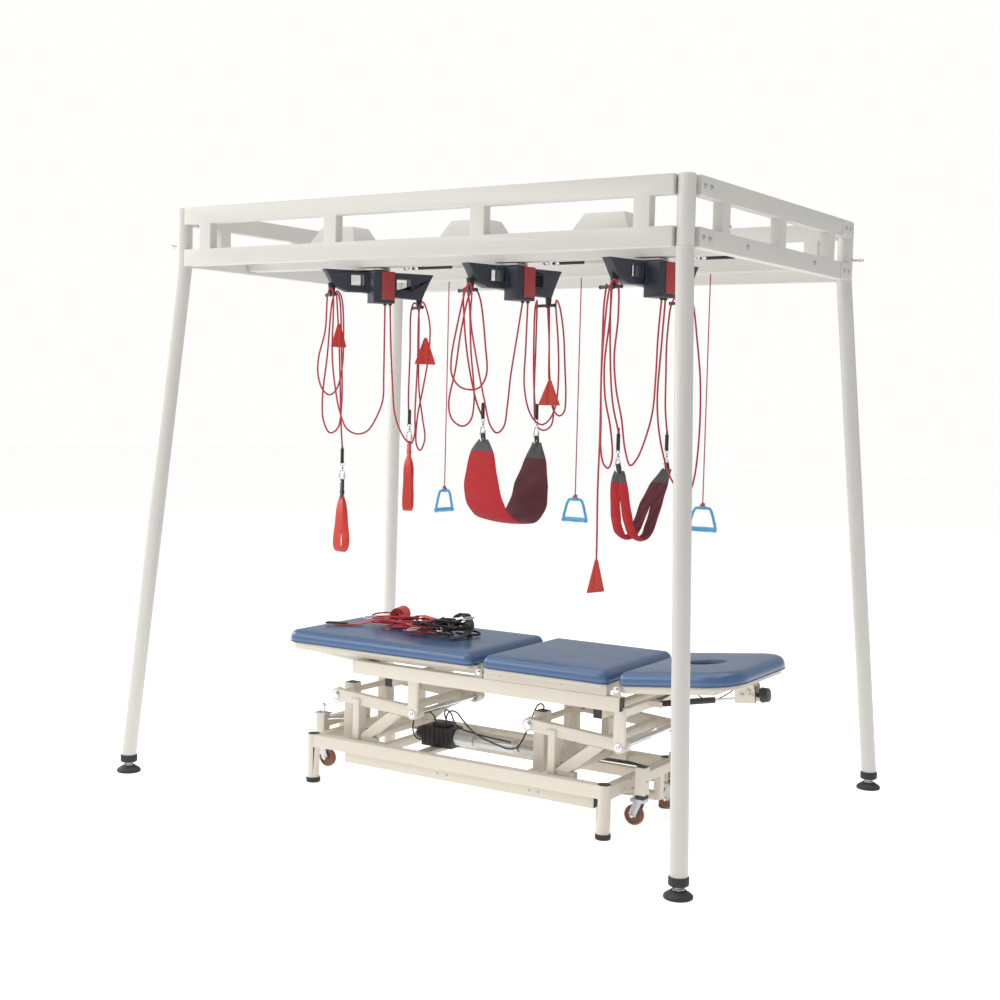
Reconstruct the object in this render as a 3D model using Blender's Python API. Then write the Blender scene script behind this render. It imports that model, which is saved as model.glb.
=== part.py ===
"""Sling suspension frame with a three-section hi-lo treatment couch.

Metres, +Z up.  Origin: floor centre of the frame.  X runs along the frame and
Y towards the rear.  The couch is modelled in its own turned frame (s, t, z),
and every suspension unit in its own frame (u, v, z).
"""

import math

import bpy
import bmesh
import numpy as np
from mathutils import Matrix, Vector

# ---------------------------------------------------------------- dimensions
GAP = 0.0003                 # clearance between touching pieces

POST_X, POST_Y = 1.13, 0.70  # corner post centres
FOOT_X, FOOT_Y = POST_X + 0.131, POST_Y + 0.157
POST_R = 0.030
FRAME_TOP = 2.300
SEAM_Z = 2.068               # corner post above, splayed leg below
LEG_BOTTOM = 0.070
RAIL_H = 0.066
TRUSS_DEPTH = 0.040
TRUSS_OUT_X, TRUSS_OUT_Y = POST_X + 0.035, POST_Y + 0.035
LONG_POSTS = (-0.985, -0.335, 0.335, 0.985)
LONG_POST_W = 0.060
SHORT_POSTS = (-0.470, 0.0, 0.470)
SHORT_POST_W = 0.055

TRACK_Y = 0.31
TRACK_W = 0.060
TRACK_Z = (2.080, 2.140)
TRACK_SLOT = 0.016

UNITS = ((-0.47, -0.27, 59.0), (0.19, -0.28, 74.0), (0.79, -0.29, 76.0))
COVER_SHIFT = -0.19          # cover centre from its unit's centre, along X
UNIT_TOP = 2.066
UNIT_HALF_T = 0.022

ROPE_R = 0.0035
PULL_CORD_R = 0.0025
HANDLES = ((-0.536, 1.055, 62.0), (0.141, 1.055, 0.0), (0.731, 1.055, 8.0))

COUCH_YAW = 2.0
COUCH_ORIGIN = (0.0, -0.22, 0.0)
CUSHION_T = 0.285
CUSHION_Z = (0.560, 0.615)
LEG_CUSHION = (-0.714, 0.176)
MID_CUSHION = (0.223, 0.749)
HEAD_CUSHION = (0.797, 1.243)
HEAD_HINGE = (0.783, 0.545)
HEAD_TILT = 6.0
LEG_HINGE = (0.200, 0.540)
FACE_HOLE_S = 1.018

BASE_S = (-0.582, 0.7455)    # base post centres
BASE_T = 0.261
BASE_POST_R = 0.025
ARM_PIVOTS = (-0.50, 0.40)
ARM_PIVOT_Z = 0.362
ARM_PIN = (0.390, -0.027)    # arm pin from its pivot
ARM_T = 0.210
SHAFT_R = 0.012
PIN_R = 0.010
PLATE_T = ARM_T + 0.030      # bracket plates that hold the arm pins
RAIL_T = ARM_T + 0.040       # side rails of the upper frame
SECTION_T = RAIL_T - 0.019   # side rails of the leg and head sections
LEVER_R = 0.160
LEVER_ANGLE = 15.0           # lever behind straight down at rest
ACTUATOR_Z = 0.2055
CASTER_S = (-0.632, 0.836)    # caster stems
CASTER_T = 0.140
WHEEL_R = 0.0375
WHEEL_W = 0.024
WHEEL_BOTTOM = 0.035
CASTER_TRAIL = 0.028
GAS_A = (0.835, 0.462)       # gas spring's fixed eye
GAS_B = (1.150, 0.522)       # gas spring's moving eye at rest

# ------------------------------------------------------------------ cleaning
for old in list(bpy.data.objects):
    bpy.data.objects.remove(old, do_unlink=True)


# ----------------------------------------------------------------- materials
def material(name, colour, rough, metal=0.0):
    mat = bpy.data.materials.new(name)
    mat.use_nodes = True
    bsdf = mat.node_tree.nodes["Principled BSDF"]
    bsdf.inputs["Base Color"].default_value = (*colour, 1.0)
    bsdf.inputs["Roughness"].default_value = rough
    bsdf.inputs["Metallic"].default_value = metal
    return mat


WHITE = material("frame_paint", (0.80, 0.78, 0.74), 0.42)
CREAM = material("couch_paint", (0.82, 0.79, 0.72), 0.40)
ALU = material("track_metal", (0.72, 0.73, 0.75), 0.35, 0.9)
RUBBER = material("black_rubber", (0.02, 0.02, 0.022), 0.7)
NAVY = material("unit_plastic", (0.012, 0.018, 0.045), 0.45)
BLUE = material("cushion_vinyl", (0.10, 0.20, 0.42), 0.38)
RED = material("rope_red", (0.50, 0.02, 0.03), 0.8)
SLING = material("sling_fabric", (0.45, 0.02, 0.03), 0.85)
HANDLE = material("handle_plastic", (0.12, 0.45, 0.78), 0.35)
STEEL = material("bright_steel", (0.65, 0.66, 0.68), 0.25, 1.0)
BLACK = material("black_plastic", (0.018, 0.018, 0.02), 0.45)
WHEEL = material("wheel_tread", (0.16, 0.07, 0.05), 0.55)


# ------------------------------------------------------------------- helpers
def mesh_from(points, faces):
    mesh = bpy.data.meshes.new("shape")
    mesh.from_pydata([tuple(p) for p in points], [], [tuple(f) for f in faces])
    bm = bmesh.new()
    bm.from_mesh(mesh)
    bmesh.ops.recalc_face_normals(bm, faces=bm.faces)
    if bm.calc_volume(signed=True) < 0.0:
        bmesh.ops.reverse_faces(bm, faces=bm.faces)
    bm.to_mesh(mesh)
    bm.free()
    return mesh


def box(x, y, z):
    """A box from three (low, high) pairs."""
    points = [(a, b, c) for a in x for b in y for c in z]
    faces = ((0, 1, 3, 2), (4, 6, 7, 5), (0, 4, 5, 1),
             (2, 3, 7, 6), (0, 2, 6, 4), (1, 5, 7, 3))
    return mesh_from(points, faces)


def loft(rings):
    """Closed solid through equal rings of points, capped at both ends."""
    n = len(rings[0])
    points = [p for ring in rings for p in ring]
    faces = []
    for k in range(len(rings) - 1):
        for i in range(n):
            j = (i + 1) % n
            faces.append((k * n + i, k * n + j, (k + 1) * n + j, (k + 1) * n + i))
    faces.append(tuple(range(n)))
    faces.append(tuple(range((len(rings) - 1) * n, len(rings) * n)))
    return mesh_from(points, faces)


def axes_for(direction, up=(0.0, 0.0, 1.0)):
    """Two unit vectors across a direction; the second is closest to up."""
    d = Vector(direction).normalized()
    side = d.cross(Vector(up))
    if side.length < 1e-4:
        side = d.cross(Vector((0.0, 1.0, 0.0)))
    side.normalize()
    return side, side.cross(d).normalized()


def rod(a, b, radius, sides=14, radius_b=None):
    a, b = Vector(a), Vector(b)
    side, top = axes_for(b - a)
    rings = []
    for centre, r in ((a, radius), (b, radius if radius_b is None else radius_b)):
        ring = []
        for i in range(sides):
            angle = 2.0 * math.pi * (i + 0.5) / sides
            ring.append(centre + side * (r * math.cos(angle)) + top * (r * math.sin(angle)))
        rings.append(ring)
    return loft(rings)


def bar(a, b, wide, high):
    """Rectangular bar; wide is across, high is towards +Z."""
    a, b = Vector(a), Vector(b)
    side, top = axes_for(b - a)
    rings = []
    for centre in (a, b):
        rings.append([centre + side * (i * wide / 2) + top * (j * high / 2)
                      for i, j in ((-1, -1), (1, -1), (1, 1), (-1, 1))])
    return loft(rings)


def turned(profile, sides=16, centre=(0.0, 0.0), axis="z"):
    """Solid turned from (radius, height) pairs; a radius of 0 closes a pole.

    A profile that ends where it starts, without a pole, makes a ring.
    """
    ringed = profile[0] == profile[-1]
    profile = profile[:-1] if ringed else profile
    points, rows = [], []
    for r, h in profile:
        if r <= 0.0:
            rows.append([len(points)] * sides)
            points.append((centre[0], centre[1], h))
            continue
        rows.append(list(range(len(points), len(points) + sides)))
        for i in range(sides):
            angle = 2.0 * math.pi * (i + 0.5) / sides
            points.append((centre[0] + r * math.cos(angle),
                           centre[1] + r * math.sin(angle), h))
    faces = []
    pairs = list(zip(rows[:-1], rows[1:]))
    if ringed:
        pairs.append((rows[-1], rows[0]))
    for low, high in pairs:
        for i in range(sides):
            j = (i + 1) % sides
            face = []
            for index in (low[i], low[j], high[j], high[i]):
                if index not in face:
                    face.append(index)
            if len(face) > 2:
                faces.append(face)
    mesh = mesh_from(points, faces)
    if axis == "y":
        mesh.transform(Matrix.Rotation(math.radians(-90.0), 4, "X"))
    if axis == "x":
        mesh.transform(Matrix.Rotation(math.radians(90.0), 4, "Y"))
    return mesh


def grid_plate(columns, holes, depth):
    """Plate with windows, from columns of (u, z) corners, thick along v.

    columns[i][k] is the corner in column i, row k; holes is the set of (i, k)
    cells that stay open; depth is the (low, high) pair along v.
    """
    count, rows = len(columns), len(columns[0])
    index = {}
    points, faces = [], []

    def corner(i, k, side):
        key = (i, k, side)
        if key not in index:
            index[key] = len(points)
            u, z = columns[i][k]
            points.append((u, depth[side], z))
        return index[key]

    def solid(i, k):
        return 0 <= i < count - 1 and 0 <= k < rows - 1 and (i, k) not in holes

    for i in range(count - 1):
        for k in range(rows - 1):
            if not solid(i, k):
                continue
            quad = ((i, k), (i + 1, k), (i + 1, k + 1), (i, k + 1))
            faces.append([corner(a, b, 0) for a, b in quad])
            faces.append([corner(a, b, 1) for a, b in reversed(quad)])
            around = ((i, k - 1), (i + 1, k), (i, k + 1), (i - 1, k))
            for n, other in enumerate(around):
                if solid(*other):
                    continue
                p, q = quad[n], quad[(n + 1) % 4]
                faces.append([corner(*q, 0), corner(*p, 0), corner(*p, 1), corner(*q, 1)])
    return mesh_from(points, faces)


def joined(meshes, operation="UNION"):
    """One mesh from a Boolean of the first mesh with all the others."""
    helpers = bpy.data.collections.new("helpers")
    base = bpy.data.objects.new("base", meshes[0])
    bpy.context.scene.collection.objects.link(base)
    for mesh in meshes[1:]:
        helpers.objects.link(bpy.data.objects.new("tool", mesh))
    modifier = base.modifiers.new("join", "BOOLEAN")
    modifier.operation = operation
    modifier.solver = "EXACT"
    modifier.operand_type = "COLLECTION"
    modifier.collection = helpers
    bpy.context.view_layer.update()
    graph = bpy.context.evaluated_depsgraph_get()
    result = bpy.data.meshes.new_from_object(base.evaluated_get(graph))
    for tool in list(helpers.objects):
        bpy.data.objects.remove(tool, do_unlink=True)
    bpy.data.objects.remove(base, do_unlink=True)
    bpy.data.collections.remove(helpers)
    bm = bmesh.new()
    bm.from_mesh(result)
    bmesh.ops.remove_doubles(bm, verts=bm.verts, dist=1e-6)
    bmesh.ops.dissolve_limit(bm, angle_limit=0.002, verts=bm.verts, edges=bm.edges)
    bm.to_mesh(result)
    bm.free()
    return result


def welded(*meshes):
    return joined(list(meshes))


def drilled(mesh, *cutters):
    return joined([mesh, *cutters], "DIFFERENCE")


def empty(name, location, turn=None, parent=None):
    obj = bpy.data.objects.new(name, None)
    obj.location = location
    if turn:
        obj.rotation_euler = turn
    obj.parent = parent
    bpy.context.scene.collection.objects.link(obj)
    return obj


def node(name, mesh, mat, origin=(0.0, 0.0, 0.0), parent=None, turn=None, smooth=False):
    """Places a mesh drawn about origin, so its object turns and slides there."""
    mesh = mesh.copy()
    mesh.name = name
    mesh.transform(Matrix.Translation(-Vector(origin)))
    mesh.materials.clear()
    mesh.materials.append(mat)
    obj = bpy.data.objects.new(name, mesh)
    obj.location = origin
    if turn:
        obj.rotation_euler = turn
    obj.parent = parent
    bpy.context.scene.collection.objects.link(obj)
    if smooth:
        mesh.shade_smooth()
        mesh.set_sharp_from_angle(angle=math.radians(35.0))
    return obj


def smooth_route(points, per_span):
    """Points of a smooth curve through the route's own points."""
    route = [Vector(p) for p in points]
    route = [route[0] * 2 - route[1]] + route + [route[-1] * 2 - route[-2]]
    out = []
    for k in range(1, len(route) - 2):
        a, b, c, d = route[k - 1:k + 3]
        knots = [0.0]
        for p, q in ((a, b), (b, c), (c, d)):
            knots.append(knots[-1] + max((q - p).length, 1e-6) ** 0.5)
        for i in range(per_span):
            t = knots[1] + (knots[2] - knots[1]) * i / per_span
            ab = a.lerp(b, (t - knots[0]) / (knots[1] - knots[0]))
            bc = b.lerp(c, (t - knots[1]) / (knots[2] - knots[1]))
            cd = c.lerp(d, (t - knots[2]) / (knots[3] - knots[2]))
            abc = ab.lerp(bc, (t - knots[0]) / (knots[2] - knots[0]))
            bcd = bc.lerp(cd, (t - knots[1]) / (knots[3] - knots[1]))
            out.append(abc.lerp(bcd, (t - knots[1]) / (knots[2] - knots[1])))
    out.append(route[-2])
    return out


def cord(name, points, radius, per_span, parent=None):
    data = bpy.data.curves.new(name, "CURVE")
    data.dimensions = "3D"
    data.bevel_depth = radius
    data.bevel_resolution = 2
    data.use_fill_caps = True
    data.materials.append(RED)
    route = smooth_route(points, per_span)
    spline = data.splines.new("POLY")
    spline.points.add(len(route) - 1)
    for point, place in zip(spline.points, route):
        point.co = (*place, 1.0)
    obj = bpy.data.objects.new(name, data)
    obj.parent = parent
    bpy.context.scene.collection.objects.link(obj)
    return obj


def band(route, widths, thick, v=0.0, closed=False, per_span=2):
    """Webbing along a (u, z) route; widths are along v at each route point."""
    count = len(route)
    if closed:
        line = [Vector((u, 0.0, z)) for u, z in route]
        path = []
        for k in range(count):
            a, b = line[k - 1], line[k]
            c, d = line[(k + 1) % count], line[(k + 2) % count]
            for i in range(per_span):
                t = i / per_span
                path.append(0.5 * (2 * b + (c - a) * t + (2 * a - 5 * b + 4 * c - d) * t * t
                                   + (3 * b - a - 3 * c + d) * t ** 3))
        wide = [widths[0]] * len(path)
    else:
        path = smooth_route([(u, 0.0, z) for u, z in route], per_span)
        wide = list(np.interp(np.arange(len(path)) / per_span, np.arange(count), widths))
    total = len(path)
    rings = []
    for k, place in enumerate(path):
        if closed:
            along = path[(k + 1) % total] - path[k - 1]
        else:
            along = path[min(k + 1, total - 1)] - path[max(k - 1, 0)]
        across = Vector((-along.z, 0.0, along.x)).normalized() * (thick / 2)
        half = Vector((0.0, wide[k] / 2, 0.0))
        mid = place + Vector((0.0, v, 0.0))
        rings.append([mid - across - half, mid + across - half,
                      mid + across + half, mid - across + half])
    if not closed:
        return loft(rings)
    points = [p for ring in rings for p in ring]
    faces = []
    for k in range(total):
        low, high = 4 * k, 4 * ((k + 1) % total)
        for i in range(4):
            j = (i + 1) % 4
            faces.append((low + i, low + j, high + j, high + i))
    return mesh_from(points, faces)


def oval_link(u, v, z, half_u, half_z, radius, sides=6, count=12):
    """Closed oval ring in the u-z plane, such as a hook's outline."""
    points, faces = [], []
    for k in range(count):
        a = 2.0 * math.pi * k / count
        out = Vector((math.cos(a), 0.0, math.sin(a)))
        mid = Vector((u + half_u * out.x, v, z + half_z * out.z))
        for i in range(sides):
            b = 2.0 * math.pi * i / sides
            points.append(mid + out * (radius * math.cos(b))
                          + Vector((0.0, radius * math.sin(b), 0.0)))
    for k in range(count):
        for i in range(sides):
            j = (i + 1) % sides
            n = (k + 1) % count
            faces.append((k * sides + i, k * sides + j, n * sides + j, n * sides + i))
    return mesh_from(points, faces)


def rounded_outline(x, y, radii, steps=5):
    """Outline of a rectangle whose four corners have their own radii."""
    corners = ((x[1], y[1], radii[0], 0.0), (x[0], y[1], radii[1], 90.0),
               (x[0], y[0], radii[2], 180.0), (x[1], y[0], radii[3], 270.0))
    out = []
    for cx, cy, r, start in corners:
        ox = cx - r if cx == x[1] else cx + r
        oy = cy - r if cy == y[1] else cy + r
        for k in range(steps + 1):
            angle = math.radians(start + 90.0 * k / steps)
            out.append((ox + r * math.cos(angle), oy + r * math.sin(angle)))
    return out


def pad(s, t, z, radii, edge=0.012):
    """Cushion with rounded corners and eased top and bottom edges."""
    rings = []
    for inset, height in ((edge, z[0]), (0.0, z[0] + edge), (0.0, z[1] - edge), (edge, z[1])):
        outline = rounded_outline((s[0] + inset, s[1] - inset), (t[0] + inset, t[1] - inset),
                                  [max(r - inset, 0.004) for r in radii])
        rings.append([(a, b, height) for a, b in outline])
    return loft(rings)


def eye(s, t, z, radius, sides=16):
    """Round boss across t at (s, z)."""
    return rod((s, t[0], z), (s, t[1], z), radius, sides)


# ---------------------------------------------------------- frame: legs, feet
CORNERS = {"front_left": (-1, -1), "front_right": (1, -1),
           "rear_left": (-1, 1), "rear_right": (1, 1)}

for corner, (sx, sy) in CORNERS.items():
    rings = []
    for x, y, z in ((FOOT_X, FOOT_Y, LEG_BOTTOM), (POST_X, POST_Y, SEAM_Z),
                    (POST_X, POST_Y, FRAME_TOP)):
        ring = []
        for i in range(16):
            angle = 2.0 * math.pi * (i + 0.5) / 16
            ring.append((sx * x + POST_R * math.cos(angle),
                         sy * y + POST_R * math.sin(angle), z))
        rings.append(ring)
    node("leg_" + corner, loft(rings), WHITE, (sx * POST_X, sy * POST_Y, SEAM_Z), smooth=True)
    foot = turned(((0.0, 0.0), (0.048, 0.0), (0.048, 0.010), (0.040, 0.018), (0.022, 0.030),
                   (0.022, 0.040), (0.034, 0.044), (0.034, LEG_BOTTOM - GAP),
                   (0.0, LEG_BOTTOM - GAP)), 16)
    foot.transform(Matrix.Translation((sx * FOOT_X, sy * FOOT_Y, 0.0)))
    node("foot_" + corner, foot, RUBBER, (sx * FOOT_X, sy * FOOT_Y, 0.0), smooth=True)

# ------------------------------------------------------------- frame: trusses
ROWS = (SEAM_Z, SEAM_Z + RAIL_H, FRAME_TOP - RAIL_H, FRAME_TOP)


def truss(length, posts, post_w):
    """Ladder truss along u, its upright gaps left open, ends open too."""
    cuts = [-length]
    for p in posts:
        cuts += [p - post_w / 2, p + post_w / 2]
    cuts.append(length)
    holes = {(i, 1) for i in range(0, len(cuts) - 1, 2)}
    return grid_plate([[(c, z) for z in ROWS] for c in cuts], holes,
                      (-TRUSS_DEPTH / 2, TRUSS_DEPTH / 2))


long_truss = truss(POST_X - POST_R - GAP, LONG_POSTS, LONG_POST_W)
short_truss = truss(POST_Y - POST_R - GAP, SHORT_POSTS, SHORT_POST_W)
for name, sy in (("front", -1), ("rear", 1)):
    mesh = long_truss.copy()
    mesh.transform(Matrix.Translation((0.0, sy * (TRUSS_OUT_Y - TRUSS_DEPTH / 2), 0.0)))
    node("truss_" + name, mesh, WHITE)
for name, sx in (("left", -1), ("right", 1)):
    mesh = short_truss.copy()
    mesh.transform(Matrix.Rotation(math.radians(90.0), 4, "Z"))
    mesh.transform(Matrix.Translation((sx * (TRUSS_OUT_X - TRUSS_DEPTH / 2), 0.0, 0.0)))
    node("truss_" + name, mesh, WHITE)

# -------------------------------------------------------------- frame: tracks
track_half = TRUSS_OUT_X - TRUSS_DEPTH - GAP
for name, y in (("front", -TRACK_Y), ("rear", TRACK_Y)):
    a, b, slot = TRACK_W / 2, TRACK_SLOT / 2, 0.014
    section = ((-a, 0.0), (-b, 0.0), (-b, slot), (b, slot), (b, 0.0), (a, 0.0),
               (a, TRACK_Z[1] - TRACK_Z[0]), (-a, TRACK_Z[1] - TRACK_Z[0]))
    rings = [[(x, y + p, TRACK_Z[0] + q) for p, q in section] for x in (-track_half, track_half)]
    node("track_" + name, loft(rings), WHITE)

# --------------------------------------------- trolleys and suspension units
UNIT_COLUMNS = (
    ((-0.190, 2.000), (-0.200, 2.014), (-0.222, 2.050), (-0.235, UNIT_TOP)),
    ((-0.137, 1.979), (-0.126, 2.004), (-0.126, 2.052), (-0.126, UNIT_TOP)),
    ((-0.066, 1.980), (-0.066, 2.004), (-0.066, 2.052), (-0.066, UNIT_TOP)),
    ((0.070, 1.966), (0.070, 1.996), (0.070, 2.044), (0.070, UNIT_TOP)),
    ((0.135, 1.963), (0.135, 1.996), (0.135, 2.044), (0.135, UNIT_TOP)),
    ((0.185, 1.962), (0.197, 1.992), (0.222, 2.044), (0.235, UNIT_TOP)),
)
NOSE = ((-0.050, 0.042), (-0.084, -0.010), (1.937, UNIT_TOP - 0.002))

PEG_Z = {-1: 2.012, 1: 2.006}


def unit_mesh():
    shell = grid_plate(UNIT_COLUMNS, {(1, 1), (3, 1)}, (-UNIT_HALF_T, UNIT_HALF_T))
    parts = [shell, box(*NOSE)]
    parts.append(turned(((0.0, UNIT_TOP - 0.010), (0.030, UNIT_TOP - 0.010),
                         (0.030, UNIT_TOP + 0.0020), (0.0, UNIT_TOP + 0.0020)), 16))
    return welded(*parts)


unit_shape = unit_mesh()
unit_frames = []
for k, (cx, cy, angle) in enumerate(UNITS, 1):
    turn = (0.0, 0.0, math.radians(angle))
    hub = empty("unit_axis_%d" % k, (cx, cy, 0.0), turn)
    unit_frames.append(hub)
    node("unit_%d" % k, unit_shape, NAVY, parent=hub)

    x0 = cx + COVER_SHIFT - 0.117
    x1 = cx + COVER_SHIFT + 0.117
    low, high = TRACK_Z[1] + GAP, 2.250
    rings = []
    for inset, front, z in ((0.0, 0.0, low), (0.0, 0.0, low + 0.045),
                            (0.035, 0.030, high)):
        rings.append([(x0 + inset, -0.340 + front, z), (x1 - inset, -0.340 + front, z),
                      (x1 - inset, -0.175 - front, z), (x0 + inset, -0.175 - front, z)])
    plate_z = (UNIT_TOP + 0.0024, UNIT_TOP + 0.0104)
    shape = welded(
        loft(rings),
        box((x0 + 0.02, cx + 0.055), (-0.277, -0.262), (plate_z[0], low + 0.020)),
        box((cx - 0.055, cx + 0.055), (-0.335, -0.262), plate_z),
    )
    node("trolley_%d" % k, shape, WHITE, (cx, cy, UNIT_TOP))

# ------------------------------------------------------------ hanging ropes
# Each route is a line of (u, v, z) points in its unit's own frame.
NOSE_EXIT = 1.937 - 0.0012
ROPES = {
    "rope_left_1": (0, (
        (0.012, -0.050, NOSE_EXIT), (0.016, -0.040, 1.80), (0.020, -0.030, 1.65),
        (0.018, -0.030, 1.55), (-0.005, -0.030, 1.485), (-0.045, -0.030, 1.424),
        (-0.090, -0.030, 1.410), (-0.135, -0.030, 1.432), (-0.165, -0.030, 1.50),
        (-0.185, -0.030, 1.59), (-0.200, -0.028, 1.72), (-0.200, -0.024, 1.971),
        (-0.207, -0.016, 1.990), (-0.215, -0.008, 1.971), (-0.222, 0.0, 1.82),
        (-0.248, 0.0, 1.71), (-0.248, 0.0, 1.64), (-0.228, 0.0, 1.585),
        (-0.200, 0.0, 1.565), (-0.172, 0.0, 1.585), (-0.150, 0.0, 1.66),
        (-0.143, 0.002, 1.78), (-0.155, 0.006, 1.961), (-0.170, 0.012, 1.981),
        (-0.183, 0.018, 1.961), (-0.205, 0.020, 1.72), (-0.222, 0.020, 1.55),
        (-0.216, 0.020, 1.46), (-0.188, 0.020, 1.412), (-0.155, 0.022, 1.43),
        (-0.138, 0.028, 1.52), (-0.140, 0.034, 1.74), (-0.152, 0.040, 1.961),
        (-0.160, 0.050, 1.976), (-0.155, 0.060, 1.956), (-0.142, 0.056, 1.75),
        (-0.138, 0.030, 1.45), (-0.138, 0.008, 1.345))),
    "rope_right_1": (0, (
        (0.034, -0.050, NOSE_EXIT), (0.044, -0.040, 1.78), (0.060, -0.030, 1.60),
        (0.070, -0.030, 1.50), (0.092, -0.030, 1.435), (0.122, -0.030, 1.388),
        (0.146, -0.030, 1.374), (0.160, -0.030, 1.41), (0.160, -0.030, 1.50),
        (0.168, -0.026, 1.70), (0.176, -0.020, 1.936), (0.190, -0.014, 1.954),
        (0.204, -0.008, 1.941), (0.230, 0.0, 1.86), (0.226, 0.0, 1.73),
        (0.205, 0.0, 1.60), (0.183, 0.0, 1.48), (0.181, 0.0, 1.37),
        (0.198, 0.0, 1.345), (0.219, 0.002, 1.39), (0.208, 0.006, 1.48),
        (0.192, 0.012, 1.60), (0.190, 0.018, 1.78), (0.184, 0.024, 1.936),
        (0.172, 0.030, 1.952), (0.162, 0.036, 1.931), (0.158, 0.034, 1.74),
        (0.152, 0.026, 1.56), (0.150, 0.008, 1.455))),
    "rope_left_2": (1, (
        (0.010, -0.050, NOSE_EXIT), (-0.004, -0.038, 1.80), (-0.024, -0.030, 1.65),
        (-0.036, -0.030, 1.54), (-0.052, -0.030, 1.46), (-0.085, -0.030, 1.437),
        (-0.118, -0.030, 1.465), (-0.150, -0.030, 1.56), (-0.195, -0.030, 1.72),
        (-0.222, -0.026, 1.86), (-0.218, -0.022, 1.971), (-0.224, -0.014, 1.990),
        (-0.232, -0.008, 1.971), (-0.262, 0.0, 1.84), (-0.288, 0.0, 1.71),
        (-0.284, 0.0, 1.65), (-0.250, 0.0, 1.61), (-0.200, 0.0, 1.597),
        (-0.150, 0.0, 1.607), (-0.118, 0.0, 1.655), (-0.124, 0.002, 1.76),
        (-0.158, 0.006, 1.951), (-0.176, 0.012, 1.974), (-0.192, 0.018, 1.956),
        (-0.228, 0.020, 1.82), (-0.252, 0.020, 1.67), (-0.280, 0.020, 1.54),
        (-0.262, 0.020, 1.485), (-0.212, 0.020, 1.460), (-0.172, 0.022, 1.482),
        (-0.152, 0.028, 1.56), (-0.168, 0.034, 1.74), (-0.186, 0.040, 1.961),
        (-0.194, 0.050, 1.976), (-0.190, 0.060, 1.956), (-0.172, 0.056, 1.75),
        (-0.142, 0.030, 1.56), (-0.126, 0.006, 1.492))),
    "rope_right_2": (1, (
        (0.036, -0.050, NOSE_EXIT), (0.040, -0.040, 1.76), (0.046, -0.030, 1.62),
        (0.070, -0.030, 1.53), (0.105, -0.030, 1.485), (0.142, -0.030, 1.470),
        (0.178, -0.030, 1.488), (0.210, -0.030, 1.54), (0.222, -0.030, 1.65),
        (0.218, -0.026, 1.80), (0.205, -0.022, 1.936), (0.216, -0.014, 1.954),
        (0.236, -0.008, 1.936), (0.268, 0.0, 1.84), (0.282, 0.0, 1.70),
        (0.291, 0.0, 1.58), (0.284, 0.0, 1.52), (0.258, 0.0, 1.505),
        (0.228, 0.002, 1.53), (0.206, 0.006, 1.64), (0.204, 0.010, 1.80),
        (0.196, 0.014, 1.936), (0.206, 0.020, 1.952), (0.214, 0.026, 1.936),
        (0.226, 0.026, 1.66), (0.250, 0.024, 1.52), (0.238, 0.024, 1.465),
        (0.200, 0.024, 1.447), (0.164, 0.026, 1.465), (0.152, 0.030, 1.56),
        (0.158, 0.036, 1.76), (0.164, 0.042, 1.936), (0.170, 0.050, 1.952),
        (0.170, 0.058, 1.931), (0.162, 0.052, 1.75), (0.152, 0.030, 1.58),
        (0.146, 0.006, 1.492))),
    "rope_left_3": (2, (
        (0.004, -0.050, NOSE_EXIT), (0.002, -0.040, 1.80), (0.008, -0.030, 1.66),
        (-0.004, -0.030, 1.53), (-0.040, -0.030, 1.43), (-0.080, -0.030, 1.362),
        (-0.112, -0.030, 1.342), (-0.140, -0.030, 1.395), (-0.165, -0.030, 1.51),
        (-0.196, -0.030, 1.61), (-0.208, -0.028, 1.72), (-0.190, -0.024, 1.86),
        (-0.192, -0.020, 1.971), (-0.202, -0.012, 1.990), (-0.214, -0.006, 1.971),
        (-0.234, 0.0, 1.80), (-0.241, 0.0, 1.63), (-0.236, 0.0, 1.50),
        (-0.233, 0.0, 1.40), (-0.216, 0.0, 1.346), (-0.190, 0.002, 1.332),
        (-0.168, 0.006, 1.365), (-0.176, 0.010, 1.47), (-0.204, 0.014, 1.58),
        (-0.208, 0.018, 1.70), (-0.184, 0.022, 1.85), (-0.172, 0.028, 1.961),
        (-0.164, 0.036, 1.978), (-0.158, 0.044, 1.956), (-0.158, 0.040, 1.74),
        (-0.152, 0.026, 1.56), (-0.140, 0.006, 1.462))),
    "rope_right_3": (2, (
        (0.024, -0.050, NOSE_EXIT), (0.021, -0.040, 1.76), (0.020, -0.030, 1.58),
        (0.022, -0.040, 1.47), (0.034, -0.056, 1.375), (0.062, -0.066, 1.30),
        (0.098, -0.070, 1.260), (0.136, -0.070, 1.240), (0.174, -0.066, 1.248),
        (0.212, -0.052, 1.295), (0.246, -0.036, 1.39), (0.264, -0.026, 1.52),
        (0.264, -0.020, 1.66), (0.244, -0.016, 1.80), (0.216, -0.012, 1.936),
        (0.204, -0.006, 1.954), (0.194, 0.0, 1.936), (0.186, 0.0, 1.80),
        (0.192, 0.0, 1.60), (0.206, 0.0, 1.525), (0.222, 0.004, 1.56),
        (0.214, 0.010, 1.72), (0.184, 0.018, 1.936), (0.168, 0.026, 1.952),
        (0.152, 0.032, 1.931), (0.134, 0.034, 1.80), (0.130, 0.030, 1.66),
        (0.122, 0.020, 1.54), (0.120, 0.006, 1.452))),
    "rope_long_3": (2, (
        (-0.188, 0.038, 1.978), (-0.199, 0.038, 1.90), (-0.203, 0.036, 1.80),
        (-0.204, 0.036, 1.66), (-0.202, 0.036, 1.45), (-0.205, 0.036, 1.25),
        (-0.202, 0.036, 1.10), (-0.201, 0.036, 1.003))),
}
for name, (index, route) in ROPES.items():
    cord(name, route, ROPE_R, 2, unit_frames[index])


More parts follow.
